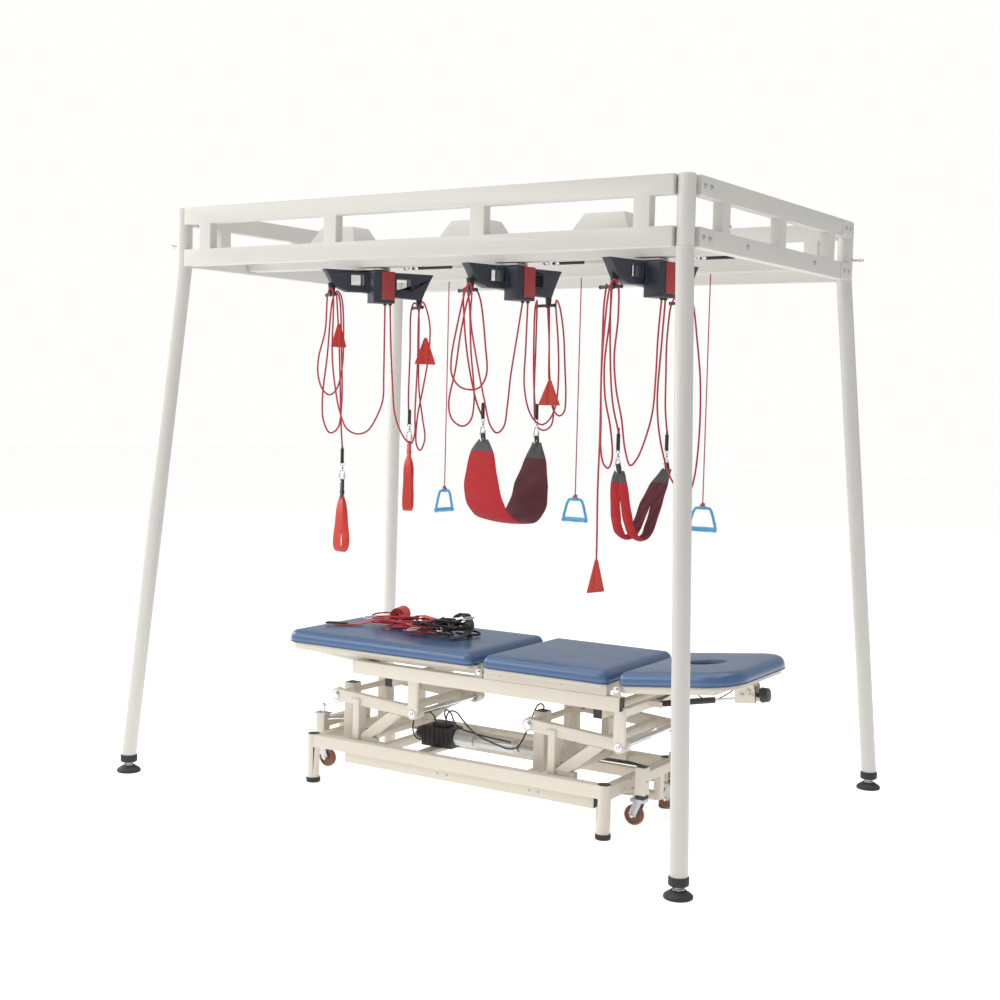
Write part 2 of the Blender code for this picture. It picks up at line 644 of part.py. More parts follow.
# --------------------------------------------------------- straps and slings
def strap(u, v, top, bottom, hook_top, swell=0.032, wide=0.030):
    """Folded webbing loop that hangs from a snap hook."""
    tall = top - bottom
    loop = ((u, top), (u - 0.010, top - 0.20 * tall), (u - 0.020, top - 0.50 * tall),
            (u - swell, top - 0.80 * tall), (u - 0.8 * swell, bottom + 0.06 * tall),
            (u, bottom), (u + 0.8 * swell, bottom + 0.06 * tall),
            (u + swell, top - 0.80 * tall), (u + 0.020, top - 0.50 * tall),
            (u + 0.010, top - 0.20 * tall))
    tab_top = top + 0.040
    mid = (hook_top + tab_top) / 2
    return welded(
        band(loop, [wide] * len(loop), 0.004, v, closed=True),
        box((u - 0.010, u + 0.010), (v - 0.012, v + 0.012), (top - 0.006, tab_top)),
        oval_link(u, v, mid, 0.011, (hook_top - tab_top) / 2, 0.0045),
    )


node("strap_1a", strap(-0.136, 0.008, 1.160, 0.931, 1.338), SLING, parent=unit_frames[0])
node("strap_1b", strap(0.152, 0.008, 1.322, 1.095, 1.448, 0.030, 0.028), SLING,
     parent=unit_frames[0])


def sling(route, widths, thick, hooks):
    """Body sling between two hooks, each (u, v, low, high)."""
    parts = [band(route, widths, thick)]
    for u, v, low, high in hooks:
        parts.append(oval_link(u, v, (low + high) / 2, 0.012, (high - low) / 2, 0.0045))
    return welded(*parts)


node("sling_2", sling(
    ((-0.125, 1.412), (-0.130, 1.368), (-0.132, 1.300), (-0.128, 1.225), (-0.105, 1.160),
     (-0.060, 1.115), (0.000, 1.097), (0.060, 1.107), (0.105, 1.160), (0.120, 1.235),
     (0.138, 1.325), (0.145, 1.400)),
    (0.050, 0.132, 0.175, 0.212, 0.225, 0.230, 0.230, 0.228, 0.220, 0.195, 0.130, 0.050),
    0.007, ((-0.125, 0.006, 1.402, 1.484), (0.145, 0.006, 1.392, 1.484))),
    SLING, parent=unit_frames[1])
node("sling_3", sling(
    ((-0.135, 1.322), (-0.135, 1.280), (-0.125, 1.205), (-0.112, 1.142), (-0.090, 1.097),
     (-0.055, 1.077), (-0.020, 1.090), (0.005, 1.130), (0.038, 1.200), (0.075, 1.265),
     (0.117, 1.325)),
    (0.045, 0.078, 0.095, 0.105, 0.110, 0.110, 0.110, 0.110, 0.105, 0.085, 0.045),
    0.007, ((-0.137, 0.006, 1.312, 1.454), (0.119, 0.006, 1.316, 1.444))),
    SLING, parent=unit_frames[2])

# ----------------------------------------------------- pull handles on cords
HANDLE_TALL = 0.108
for k, (x, bottom, angle) in enumerate(HANDLES, 1):
    pivot = (x, TRACK_Y, TRACK_Z[0] - 0.001)
    hang = empty("pull_axis_%d" % k, pivot)
    top = bottom + HANDLE_TALL
    grip_z = bottom + 0.014
    shape = welded(
        rod((-0.058, 0.0, grip_z), (0.058, 0.0, grip_z), 0.013, 12),
        bar((-0.052, 0.0, grip_z), (-0.022, 0.0, top - 0.012), 0.018, 0.010),
        bar((0.052, 0.0, grip_z), (0.022, 0.0, top - 0.012), 0.018, 0.010),
        bar((-0.030, 0.0, top - 0.012), (0.030, 0.0, top - 0.012), 0.020, 0.016),
        rod((0.0, 0.0, top - 0.010), (0.0, 0.0, top), 0.007, 10),
    )
    shape.transform(Matrix.Rotation(math.radians(angle), 4, "Z"))
    shape.transform(Matrix.Translation((x, TRACK_Y, 0.0)))
    obj = node("handle_%d" % k, shape, HANDLE, pivot, smooth=True)
    obj.location = (0.0, 0.0, 0.0)
    obj.parent = hang
    start, end = TRACK_Z[0] - 0.004, top + GAP
    route = [(0.0, 0.0, start + (end - start) * i / 8 - pivot[2]) for i in range(9)]
    cord("pull_cord_%d" % k, route, PULL_CORD_R, 2, hang)

# ---------------------------------------------------------------- couch base
couch = empty("couch_axis", COUCH_ORIGIN, (0.0, 0.0, math.radians(COUCH_YAW)))
s0, s1 = BASE_S
parts = []
for s in BASE_S:
    for side in (-1, 1):
        foot = turned(((0.0, 0.0), (0.027, 0.0), (0.029, 0.006), (0.029, 0.022),
                       (BASE_POST_R, 0.026), (BASE_POST_R, 0.1975), (0.0, 0.1975)), 16)
        foot.transform(Matrix.Translation((s, side * BASE_T, 0.0)))
        parts.append(foot)
    parts.append(box((s - 0.019, s + 0.019), (-BASE_T, BASE_T), (0.150, 0.190)))
for side in (-1, 1):
    t = side * BASE_T
    parts.append(box((s0, s1), (t - 0.020, t + 0.020), (0.147, 0.196)))
for s in ARM_PIVOTS:
    parts.append(box((s - 0.025, s + 0.025), (-0.250, 0.250), (0.148, 0.177)))
    for side in (-1, 1):
        t = side * 0.115
        parts.append(box((s - 0.024, s + 0.024), (t - 0.025, t + 0.025), (0.160, 0.396)))
    parts.append(eye(s, (-ARM_T - 0.026, ARM_T + 0.026), ARM_PIVOT_Z, SHAFT_R, 20))
parts.append(box((-0.160, -0.110), (-0.250, 0.250), (0.1475, 0.1640)))
node("couch_base", welded(*parts), CREAM, parent=couch)


# ---------------------------------------------------------------- lift arms
def lift_arm(s, lever):
    """Two welded side triangles, their cross tubes and the pin shaft."""
    z = ARM_PIVOT_Z
    es, ez = s + ARM_PIN[0], z + ARM_PIN[1]
    solids = []
    for side in (-1, 1):
        t = side * ARM_T
        wide = (t - 0.015, t + 0.015)
        solids += [
            bar((s - 0.002, t, z), (es + 0.002, t, ez), 0.030, 0.045),
            eye(s, wide, z, 0.026, 20),
            eye(es, wide, ez, 0.0235, 20),
            bar((s + 0.108, t, z - 0.005), (s + 0.108, t, z - 0.184), 0.0290, 0.050),
            bar((s + 0.130, t, z - 0.168), (s + 0.305, t, z - 0.030), 0.0285, 0.040),
            box((s + 0.085, s + 0.200), (t - 0.0145, t + 0.0145), (z - 0.188, z - 0.154)),
        ]
    solids.append(box((s + 0.092, s + 0.132), (-ARM_T, ARM_T), (z - 0.182, z - 0.150)))
    solids.append(box((s + 0.300, s + 0.330), (-ARM_T, ARM_T), (z - 0.034, z - 0.008)))
    solids.append(eye(es, (-RAIL_T, RAIL_T), ez, PIN_R, 20))
    if lever:
        angle = math.radians(LEVER_ANGLE)
        ls, lz = s - LEVER_R * math.sin(angle), z - LEVER_R * math.cos(angle)
        for side in (-1, 1):
            t = side * 0.030
            solids.append(bar((ls, t, lz), (s + 0.110, t, z - 0.165), 0.010, 0.024))
            solids.append(eye(ls, (t - 0.005, t + 0.005), lz, 0.013, 14))
        solids.append(eye(ls, (-0.034, 0.034), lz, 0.006, 12))
    shape = welded(*solids)
    return drilled(shape, *[eye(s, (t - 0.030, t + 0.030), z, SHAFT_R + 0.0008, 20)
                            for t in (-ARM_T, ARM_T)])


for name, s, lever in (("arm_left", ARM_PIVOTS[0], False), ("arm_right", ARM_PIVOTS[1], True)):
    node(name, lift_arm(s, lever), CREAM, (s, 0.0, ARM_PIVOT_Z), couch)

# -------------------------------------------------------------- upper frame
parts, holes = [], []
for side in (-1, 1):
    t = side * RAIL_T
    parts.append(box((-0.385, 0.800), (t - 0.020, t + 0.020), (0.467, 0.519)))
    parts.append(box((0.228, 0.745), (t - 0.018, t + 0.018), (0.510, CUSHION_Z[0] - GAP)))
    lug = side * (RAIL_T + 0.0055)
    for s, z in (LEG_HINGE, HEAD_HINGE):
        parts.append(box((s - 0.014, s + 0.014), (lug - 0.005, lug + 0.005), (0.505, z + 0.010)))
        a, b = sorted((side * (RAIL_T - 0.035), side * (RAIL_T + 0.009)))
        parts.append(eye(s, (a, b), z, 0.007, 16))
    for s in ARM_PIVOTS:
        ps, pz = s + ARM_PIN[0], ARM_PIVOT_Z + ARM_PIN[1]
        plate = side * PLATE_T
        parts.append(box((ps - 0.0225, ps + 0.0225), (plate - 0.007, plate + 0.007), (pz, 0.480)))
        parts.append(eye(ps, sorted((plate - 0.0068, plate + 0.0068)), pz, 0.0225, 20))
        a, b = sorted((side * (PLATE_T - 0.011), side * (PLATE_T + 0.022)))
        holes.append(eye(ps, (a, b), pz, PIN_R + 0.0008, 20))
for s in (-0.210, 0.713):
    parts.append(box((s - 0.0175, s + 0.0175), (-RAIL_T - 0.016, RAIL_T + 0.016),
                     (0.4345, 0.4695)))
parts.append(box((0.774, 0.798), (0.005 - RAIL_T, RAIL_T - 0.005), (0.440, 0.4700)))
for s in (0.250, 0.720):
    parts.append(box((s - 0.020, s + 0.020), (0.005 - RAIL_T, RAIL_T - 0.005),
                     (0.530, CUSHION_Z[0] - 0.0006)))
for t in (-0.0155, 0.0155):
    parts.append(box((0.790, GAS_A[0] + 0.012), (t - 0.003, t + 0.003), (0.448, 0.469)))
parts.append(eye(GAS_A[0], (-0.0175, 0.0175), GAS_A[1] - 0.002, 0.004, 10))
node("upper_frame", drilled(welded(*parts), *holes), CREAM,
     (ARM_PIVOTS[0] + ARM_PIN[0], 0.0, ARM_PIVOT_Z + ARM_PIN[1]), couch)

# ------------------------------------------------------ leg section and pile
parts = []
for side in (-1, 1):
    t = side * SECTION_T
    parts.append(box((-0.700, 0.186), (t - 0.015, t + 0.015), (0.5285, CUSHION_Z[0] - GAP)))
    parts.append(eye(LEG_HINGE[0], (t - 0.010, t + 0.010), LEG_HINGE[1], 0.0125, 16))
    parts.append(bar((0.170, t, LEG_HINGE[1]), (LEG_HINGE[0], t, LEG_HINGE[1]), 0.0200, 0.0210))
    brace = side * (SECTION_T - 0.031)
    parts.append(bar((-0.680, brace, 0.535), (-0.330, brace, 0.508), 0.024, 0.022))
for s in (-0.682, -0.330, 0.120):
    parts.append(box((s - 0.018, s + 0.018), (-SECTION_T - 0.004, SECTION_T + 0.004),
                     (0.5310, CUSHION_Z[0] - 0.0006)))
parts.append(box((-0.350, -0.320), (0.026 - SECTION_T, SECTION_T - 0.026), (0.498, 0.535)))
cuts = [eye(LEG_HINGE[0], (t - 0.034, t + 0.036), LEG_HINGE[1], 0.0078, 16)
        for t in (-SECTION_T, SECTION_T)]
node("leg_frame", drilled(welded(*parts), *cuts), CREAM,
     (LEG_HINGE[0], 0.0, LEG_HINGE[1]), couch)
node("cushion_leg", pad(LEG_CUSHION, (-CUSHION_T, CUSHION_T), CUSHION_Z,
                        (0.030, 0.045, 0.045, 0.030)), BLUE,
     (LEG_HINGE[0], 0.0, LEG_HINGE[1]), couch, smooth=True)
node("cushion_mid", pad(MID_CUSHION, (-CUSHION_T, CUSHION_T), CUSHION_Z,
                        (0.030, 0.030, 0.030, 0.030)), BLUE, parent=couch, smooth=True)

heap = []
for grow, height in ((1.0, 0.0), (1.02, 0.018), (0.86, 0.048), (0.45, 0.072)):
    ring = []
    for i in range(18):
        angle = 2.0 * math.pi * i / 18
        wave = 1.0 + 0.10 * math.sin(3.0 * angle + 0.7) + 0.05 * math.cos(5.0 * angle)
        ring.append((-0.335 + 0.255 * grow * wave * math.cos(angle),
                     0.010 + 0.150 * grow * wave * math.sin(angle),
                     CUSHION_Z[1] + GAP + height))
    heap.append(ring)
node("accessory_pile", loft(heap), SLING, (LEG_HINGE[0], 0.0, LEG_HINGE[1]), couch)

# ------------------------------------------------------------- head section
head = empty("head_axis", (HEAD_HINGE[0], 0.0, HEAD_HINGE[1]),
             (0.0, math.radians(-HEAD_TILT), 0.0), couch)


def at_head(mesh):
    """Moves a mesh from couch axes to the head hinge's own axes."""
    mesh.transform(Matrix.Translation((-HEAD_HINGE[0], 0.0, -HEAD_HINGE[1])))
    return mesh


tilt = Matrix.Rotation(math.radians(HEAD_TILT), 4, "Y")
gas_end = tilt @ Vector((GAS_B[0] - HEAD_HINGE[0], 0.0, GAS_B[1] - HEAD_HINGE[1]))
parts, cuts = [], []
for side in (-1, 1):
    t = side * SECTION_T
    parts.append(box((0.797, 1.150), (t - 0.015, t + 0.015), (0.5300, CUSHION_Z[0] - GAP)))
    parts.append(eye(HEAD_HINGE[0], (t - 0.010, t + 0.010), HEAD_HINGE[1], 0.0125, 16))
    parts.append(bar((HEAD_HINGE[0], t, HEAD_HINGE[1]), (0.812, t, HEAD_HINGE[1]),
                     0.0200, 0.0210))
    cuts.append(eye(HEAD_HINGE[0], (t - 0.036, t + 0.036), HEAD_HINGE[1], 0.0078, 16))
for s in (0.830, 1.140):
    parts.append(box((s - 0.018, s + 0.018), (-SECTION_T - 0.004, SECTION_T + 0.004),
                     (0.5310, CUSHION_Z[0] - 0.0006)))
bs, bz = gas_end.x + HEAD_HINGE[0], gas_end.z + HEAD_HINGE[1]
for t in (-0.0215, 0.0215):
    parts.append(box((bs - 0.016, bs + 0.062), (t - 0.0035, t + 0.0035), (bz - 0.014, 0.535)))
parts.append(box((1.128, bs + 0.058), (-0.030, 0.030), (0.527, 0.545)))
parts.append(eye(bs, (-0.024, 0.024), bz, 0.004, 10))
parts.append(eye(bs + 0.048, (-0.030, 0.030), bz + 0.010, 0.010, 12))
parts.append(rod((bs + 0.048, 0.0, bz + 0.010), (bs + 0.080, 0.0, bz + 0.012), 0.008, 10))
parts.append(rod((bs + 0.078, 0.0, bz + 0.012), (bs + 0.104, 0.0, bz + 0.013), 0.028, 16, 0.024))
node("head_frame", at_head(drilled(welded(*parts), *cuts)), CREAM, parent=head)

pillow = pad(HEAD_CUSHION, (-CUSHION_T, CUSHION_T), CUSHION_Z, (0.120, 0.030, 0.030, 0.120))
hole = []
for z in (CUSHION_Z[0] - 0.02, CUSHION_Z[1] + 0.02):
    hole.append([(FACE_HOLE_S + 0.068 * math.cos(2.0 * math.pi * i / 20),
                  0.055 * math.sin(2.0 * math.pi * i / 20), z) for i in range(20)])
node("cushion_head", at_head(drilled(pillow, loft(hole))), BLUE, parent=head, smooth=True)

# --------------------------------------------------------------- gas spring
ga = Vector((GAS_A[0], 0.0, GAS_A[1] - 0.002))
gb = Vector((GAS_B[0], 0.0, GAS_B[1]))
along = (gb - ga).normalized()
tube = welded(rod(ga + along * 0.008, ga + along * 0.215, 0.0115, 14),
              eye(ga.x, (-0.0105, 0.0105), ga.z, 0.0105, 14))
tube = drilled(tube, eye(ga.x, (-0.02, 0.02), ga.z, 0.0048, 10),
               rod(ga + along * 0.120, ga + along * 0.230, 0.0058, 12))
node("gas_cylinder", tube, BLACK, tuple(ga), couch, smooth=True)
stem = welded(rod(ga + along * 0.160, gb - along * 0.012, 0.0050, 12),
              eye(gb.x, (-0.0150, 0.0150), gb.z, 0.0165, 18))
stem = drilled(stem, eye(gb.x, (-0.03, 0.03), gb.z, 0.0112, 16))
node("gas_rod", stem, STEEL, tuple(gb), couch, smooth=True)

# ----------------------------------------------------------- lift actuator
angle = math.radians(LEVER_ANGLE)
lever_s = ARM_PIVOTS[1] - LEVER_R * math.sin(angle)
motor = welded(
    box((-0.205, -0.060), (-0.042, 0.042), (0.1645, 0.2445)),
    rod((-0.080, 0.0, ACTUATOR_Z), (0.230, 0.0, ACTUATOR_Z), 0.021, 16),
    rod((-0.070, 0.0, ACTUATOR_Z + 0.002), (0.030, 0.0, ACTUATOR_Z + 0.002), 0.032, 16),
)
motor = drilled(motor, rod((0.120, 0.0, ACTUATOR_Z), (0.260, 0.0, ACTUATOR_Z), 0.0125, 16))
node("actuator_body", motor, BLACK, (-0.10, 0.0, ACTUATOR_Z), couch, smooth=True)
plunger = welded(
    rod((0.128, 0.0, ACTUATOR_Z), (lever_s - 0.012, 0.0, ACTUATOR_Z), 0.0115, 14),
    eye(lever_s, (-0.018, 0.018), ACTUATOR_Z, 0.0170, 18),
)
plunger = drilled(plunger, eye(lever_s, (-0.03, 0.03), ACTUATOR_Z, 0.0105, 16))
node("actuator_rod", plunger, STEEL, (0.230, 0.0, ACTUATOR_Z), couch, smooth=True)

# --------------------------------------------------------- caster mechanism
# The caster heads, the middle bars and the side beams rise and drop together.
parts = []
for s, reach in zip(CASTER_S, (-0.395, 0.685)):
    for side in (-1, 1):
        t = side * CASTER_T
        parts.append(box((s - 0.020, s + 0.020), (t - 0.020, t + 0.020), (0.150, 0.252)))
    parts.append(box((s - 0.018, s + 0.018), (-CASTER_T, CASTER_T), (0.198, 0.234)))
    parts.append(box((s - 0.014, s + 0.014), (-0.016, 0.016), (0.104, 0.210)))
    parts.append(box(sorted((s, reach)), (-0.018, 0.018), (0.102, 0.130)))
    parts.append(box((reach - 0.014, reach + 0.014), (-0.240, 0.240), (0.104, 0.138)))
for side in (-1, 1):
    t = side * 0.240
    parts.append(box((-0.425, 0.700), (t - 0.014, t + 0.014), (0.101, 0.141)))
node("caster_frame", welded(*parts), CREAM, (0.0, 0.0, 0.110), couch)

AXLE_Z = WHEEL_BOTTOM + WHEEL_R
caster_n = 0
for s in CASTER_S:
    trail = CASTER_TRAIL if s < 0.0 else -CASTER_TRAIL
    for side in (-1, 1):
        caster_n += 1
        t = side * CASTER_T
        top = 0.150 - GAP
        ws = s + trail
        knee = s + 0.2 * trail
        shape = welded(
            rod((s, t, top - 0.016), (s, t, top), 0.021, 16),
            box(sorted((s - 0.64 * trail, s + 1.3 * trail)), (t - 0.022, t + 0.022),
                (top - 0.026, top - 0.014)),
            bar((knee, t - 0.0185, top - 0.020), (ws, t - 0.0185, AXLE_Z), 0.005, 0.030),
            bar((knee, t + 0.0185, top - 0.020), (ws, t + 0.0185, AXLE_Z), 0.005, 0.030),
            eye(ws, (t - 0.0220, t + 0.0220), AXLE_Z, 0.0045, 12),
        )
        node("caster_fork_%d" % caster_n, shape, STEEL, (s, t, top), couch)
        ring = turned(((0.0053, -WHEEL_W / 2), (WHEEL_R - 0.006, -WHEEL_W / 2),
                       (WHEEL_R, -WHEEL_W / 4), (WHEEL_R, WHEEL_W / 4),
                       (WHEEL_R - 0.006, WHEEL_W / 2), (0.0053, WHEEL_W / 2),
                       (0.0053, -WHEEL_W / 2)), 20, axis="y")
        ring.transform(Matrix.Translation((ws, t, AXLE_Z)))
        node("caster_wheel_%d" % caster_n, ring, WHEEL, (ws, t, AXLE_Z), couch, smooth=True)
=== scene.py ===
# %% [markdown]
# # A sling suspension frame with its treatment couch
#
# A white steel frame carries three suspension units under its overhead tracks.
# Red ropes, slings and pull handles hang from it, and a blue three-section
# couch on a hi-lo base stands inside.  The steel shapes come from the packed
# CAD model.  This lesson gives every one of them its finish and its rounded
# edges, and makes the soft things and the small fittings around them.

# %% Load the model
import math
import random

import bmesh
import bpy
from mathutils import Matrix, Vector, noise


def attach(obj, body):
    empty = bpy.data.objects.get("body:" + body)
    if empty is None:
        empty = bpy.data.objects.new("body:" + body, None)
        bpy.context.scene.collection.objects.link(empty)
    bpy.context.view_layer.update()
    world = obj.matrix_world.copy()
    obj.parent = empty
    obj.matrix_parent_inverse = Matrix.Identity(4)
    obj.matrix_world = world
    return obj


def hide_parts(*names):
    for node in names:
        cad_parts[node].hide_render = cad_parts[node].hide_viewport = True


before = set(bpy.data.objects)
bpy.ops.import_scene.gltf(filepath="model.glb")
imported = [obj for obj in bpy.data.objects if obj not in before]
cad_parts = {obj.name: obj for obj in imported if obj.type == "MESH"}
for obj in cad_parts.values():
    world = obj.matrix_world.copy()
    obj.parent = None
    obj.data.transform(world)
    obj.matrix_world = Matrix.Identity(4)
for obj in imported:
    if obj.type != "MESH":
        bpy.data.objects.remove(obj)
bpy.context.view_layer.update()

# %% [markdown]
# ## The camera
#
# The camera stands a little in front of the right-hand end of the frame at eye
# height.  Its place is given in metres and its aim as three angles, because an
# aim written as angles is easy to turn by hand.  The small roll is part of
# the view.

# %% Place the camera
CAMERA_PLACE = (3.329, -5.017, 1.5616)
CAMERA_YAW, CAMERA_PITCH, CAMERA_ROLL = -0.590, -0.0674, 0.025
LENS, SENSOR = 53.36, 36.0

forward = Vector((math.sin(CAMERA_YAW) * math.cos(CAMERA_PITCH),
                  math.cos(CAMERA_YAW) * math.cos(CAMERA_PITCH), math.sin(CAMERA_PITCH)))
level = Vector((math.cos(CAMERA_YAW), -math.sin(CAMERA_YAW), 0.0))
upright = level.cross(forward)
right = level * math.cos(CAMERA_ROLL) + upright * math.sin(CAMERA_ROLL)
up = upright * math.cos(CAMERA_ROLL) - level * math.sin(CAMERA_ROLL)

camera = bpy.data.objects.new("camera", bpy.data.cameras.new("camera"))
camera.data.lens = LENS
camera.data.sensor_width = SENSOR
camera.matrix_world = Matrix.Translation(CAMERA_PLACE) @ Matrix(
    (right, up, -forward)).transposed().to_4x4()
bpy.context.scene.collection.objects.link(camera)
bpy.context.scene.camera = camera
print("lens", round(camera.data.lens, 2), "mm")

# %% [markdown]
# ## The studio
#
# A pale floor that glows a little and a bright, even world give a plain
# background.  A soft key lamp from the front left and a side lamp further left
# give the tubes their light side, and a wide lamp above fills the rest.  The
# world looks brighter to the camera than it lights, so the shading stays.

# %% Floor, world and lamps
def studio_floor():
    mesh = bpy.data.meshes.new("floor")
    mesh.from_pydata([(-30, -30, 0), (30, -30, 0), (30, 30, 0), (-30, 30, 0)], [], [(0, 1, 2, 3)])
    floor = bpy.data.objects.new("floor", mesh)
    bpy.context.scene.collection.objects.link(floor)
    finish = bpy.data.materials.new("studio_floor")
    finish.use_nodes = True
    shader = finish.node_tree.nodes["Principled BSDF"]
    shader.inputs["Base Color"].default_value = (0.95, 0.95, 0.95, 1.0)
    shader.inputs["Roughness"].default_value = 0.75
    shader.inputs["Emission Color"].default_value = (1.0, 1.0, 1.0, 1.0)
    shader.inputs["Emission Strength"].default_value = 0.58
    mesh.materials.append(finish)
    return floor


def soft_lamp(name, place, aim, size, watts, tint):
    lamp = bpy.data.objects.new(name, bpy.data.lights.new(name, "AREA"))
    lamp.data.size = size
    lamp.data.energy = watts
    lamp.data.color = tint
    lamp.location = place
    lamp.rotation_euler = (Vector(aim) - Vector(place)).to_track_quat("-Z", "Y").to_euler()
    bpy.context.scene.collection.objects.link(lamp)


studio_floor()
soft_lamp("key_lamp", (-3.4, -5.2, 4.0), (0.0, 0.0, 1.0), 3.2, 95.0, (1.0, 0.975, 0.94))
soft_lamp("side_lamp", (-5.6, -1.2, 2.8), (0.0, 0.0, 1.2), 2.6, 120.0, (1.0, 0.985, 0.955))
soft_lamp("top_lamp", (0.0, -0.6, 6.5), (0.0, -0.3, 0.0), 7.0, 250.0, (1.0, 0.995, 0.985))

world = bpy.data.worlds.new("studio_world")
world.use_nodes = True
backdrop = world.node_tree.nodes["Background"]
backdrop.inputs["Color"].default_value = (1.0, 0.995, 0.985, 1.0)
seen_or_lit = world.node_tree.nodes.new("ShaderNodeMapRange")
seen_or_lit.inputs["To Min"].default_value = 0.42
seen_or_lit.inputs["To Max"].default_value = 1.0
world.node_tree.links.new(world.node_tree.nodes.new("ShaderNodeLightPath").outputs["Is Camera Ray"],
                          seen_or_lit.inputs["Value"])
world.node_tree.links.new(seen_or_lit.outputs["Result"], backdrop.inputs["Strength"])
bpy.context.scene.world = world
bpy.context.scene.view_settings.view_transform = "Standard"

# %% [markdown]
# ## Shop tools: shapes
#
# Small fittings are drawn into one bmesh each, piece by piece: blocks, round
# bars, turned shapes and bent rods.  Every tool takes the number of the finish
# that its faces get, so a fitting can be part steel and part plastic.  A bmesh
# is used because it needs no operators and no selection, so the result is the
# same on every run.

# %% Blocks, bars and turned shapes
def across(direction):
    """Two unit vectors square to a direction, the second one as upright as it can be."""
    ahead = Vector(direction).normalized()
    side = ahead.cross(Vector((0.0, 0.0, 1.0)))
    if side.length < 1e-4:
        side = ahead.cross(Vector((0.0, 1.0, 0.0)))
    side.normalize()
    return side, side.cross(ahead).normalized()


def skin(bm, rings, finish=0, closed=False, caps=True, uv_rows=None):
    """Quads through equal rings of points, with a cap on each end."""
    made = [[bm.verts.new(p) for p in ring] for ring in rings]
    count = len(made[0])
    uv = bm.loops.layers.uv.verify()
    pairs = list(zip(range(len(made) - 1), range(1, len(made))))
    if closed:
        pairs.append((len(made) - 1, 0))
    for a, b in pairs:
        for i in range(count):
            j = (i + 1) % count
            face = bm.faces.new((made[a][i], made[a][j], made[b][j], made[b][i]))
            face.material_index = finish
            if uv_rows:
                low, high = uv_rows[a], uv_rows[b] if b > a else uv_rows[a]
                for loop, place in zip(face.loops, ((low, i), (low, i + 1), (high, i + 1), (high, i))):
                    loop[uv].uv = (place[0], place[1] / count)
    if caps and not closed:
        for ring in (made[0], made[-1]):
            bm.faces.new(ring).material_index = finish
    return made


def block(bm, x, y, z, finish=0):
    """A box from three (low, high) pairs."""
    skin(bm, [[(x[0], y[0], h), (x[1], y[0], h), (x[1], y[1], h), (x[0], y[1], h)] for h in z],
         finish)


def strut(bm, a, b, wide, high, finish=0):
    """A rectangular bar between two points."""
    side, top = across(Vector(b) - Vector(a))
    skin(bm, [[Vector(c) + side * (i * wide / 2) + top * (j * high / 2)
               for i, j in ((-1, -1), (1, -1), (1, 1), (-1, 1))] for c in (a, b)], finish)


def round_bar(bm, a, b, radius, finish=0, sides=24, end_radius=None):
    """A straight round bar, or a cone when the second radius differs."""
    a, b = Vector(a), Vector(b)
    side, top = across(b - a)
    rings = []
    for centre, r in ((a, radius), (b, radius if end_radius is None else end_radius)):
        rings.append([centre + (side * math.cos(t) + top * math.sin(t)) * r
                      for t in (2.0 * math.pi * i / sides for i in range(sides))])
    skin(bm, rings, finish)


def turned(bm, profile, place, axis=(0.0, 0.0, 1.0), finish=0, sides=32):
    """A solid turned about an axis from (radius, height) pairs."""
    side, top = across(axis)
    ahead = Vector(axis).normalized()
    rings = [[Vector(place) + ahead * h + (side * math.cos(t) + top * math.sin(t)) * max(r, 1e-5)
              for t in (2.0 * math.pi * i / sides for i in range(sides))] for r, h in profile]
    skin(bm, rings, finish)


def bent_rod(bm, path, radius, finish=0, sides=10, closed=False):
    """A rod swept along a path, with its length in metres as the first UV."""
    path = [Vector(p) for p in path]
    count = len(path)
    rings, rows, run, side = [], [], 0.0, None
    for k, place in enumerate(path):
        after = path[(k + 1) % count] if closed else path[min(k + 1, count - 1)]
        before = path[k - 1] if closed or k else path[0]
        ahead = (after - before).normalized()
        if side is None:
            side = across(ahead)[0]
        side = (side - ahead * side.dot(ahead)).normalized()
        top = side.cross(ahead)
        r = radius[k] if isinstance(radius, (list, tuple)) else radius
        rings.append([place + (side * math.cos(t) + top * math.sin(t)) * r
                      for t in (2.0 * math.pi * i / sides for i in range(sides))])
        run += (place - path[k - 1]).length if k else 0.0
        rows.append(run)
    skin(bm, rings, finish, closed=closed, uv_rows=rows)
    return run


def smooth_route(points, per_span):
    """Points of a smooth curve through a route's own points."""
    route = [Vector(p) for p in points]
    route = [route[0] * 2 - route[1]] + route + [route[-1] * 2 - route[-2]]
    out = []
    for k in range(1, len(route) - 2):
        a, b, c, d = route[k - 1:k + 3]
        knots = [0.0]
        for p, q in ((a, b), (b, c), (c, d)):
            knots.append(knots[-1] + max((q - p).length, 1e-6) ** 0.5)
        for i in range(per_span):
            t = knots[1] + (knots[2] - knots[1]) * i / per_span
            ab = a.lerp(b, (t - knots[0]) / (knots[1] - knots[0]))
            bc = b.lerp(c, (t - knots[1]) / (knots[2] - knots[1]))
            cd = c.lerp(d, (t - knots[2]) / (knots[3] - knots[2]))
            abc = ab.lerp(bc, (t - knots[0]) / (knots[2] - knots[0]))
            bcd = bc.lerp(cd, (t - knots[1]) / (knots[3] - knots[1]))
            out.append(abc.lerp(bcd, (t - knots[1]) / (knots[2] - knots[1])))
    out.append(route[-2])
    return out


# %% [markdown]
# Finished shapes become objects in one place only.  `piece` rounds the sharp
# edges, puts the shape where it belongs, gives it its finishes and ties it to
# its body.  `dressed` does the same with a CAD shape: its flat faces are made
# whole again, its edges are rounded, and the CAD node itself is hidden.

# %% Turn a drawing into a piece of the object
HOME = Matrix.Identity(4)


def round_edges(bm, width, angle=35.0):
    sharp = [e for e in bm.edges
             if len(e.link_faces) == 2 and e.calc_face_angle(0.0) > math.radians(angle)]
    bmesh.ops.bevel(bm, geom=sharp, offset=width, segments=2, profile=0.6, affect="EDGES",
                    clamp_overlap=False, material=-1)


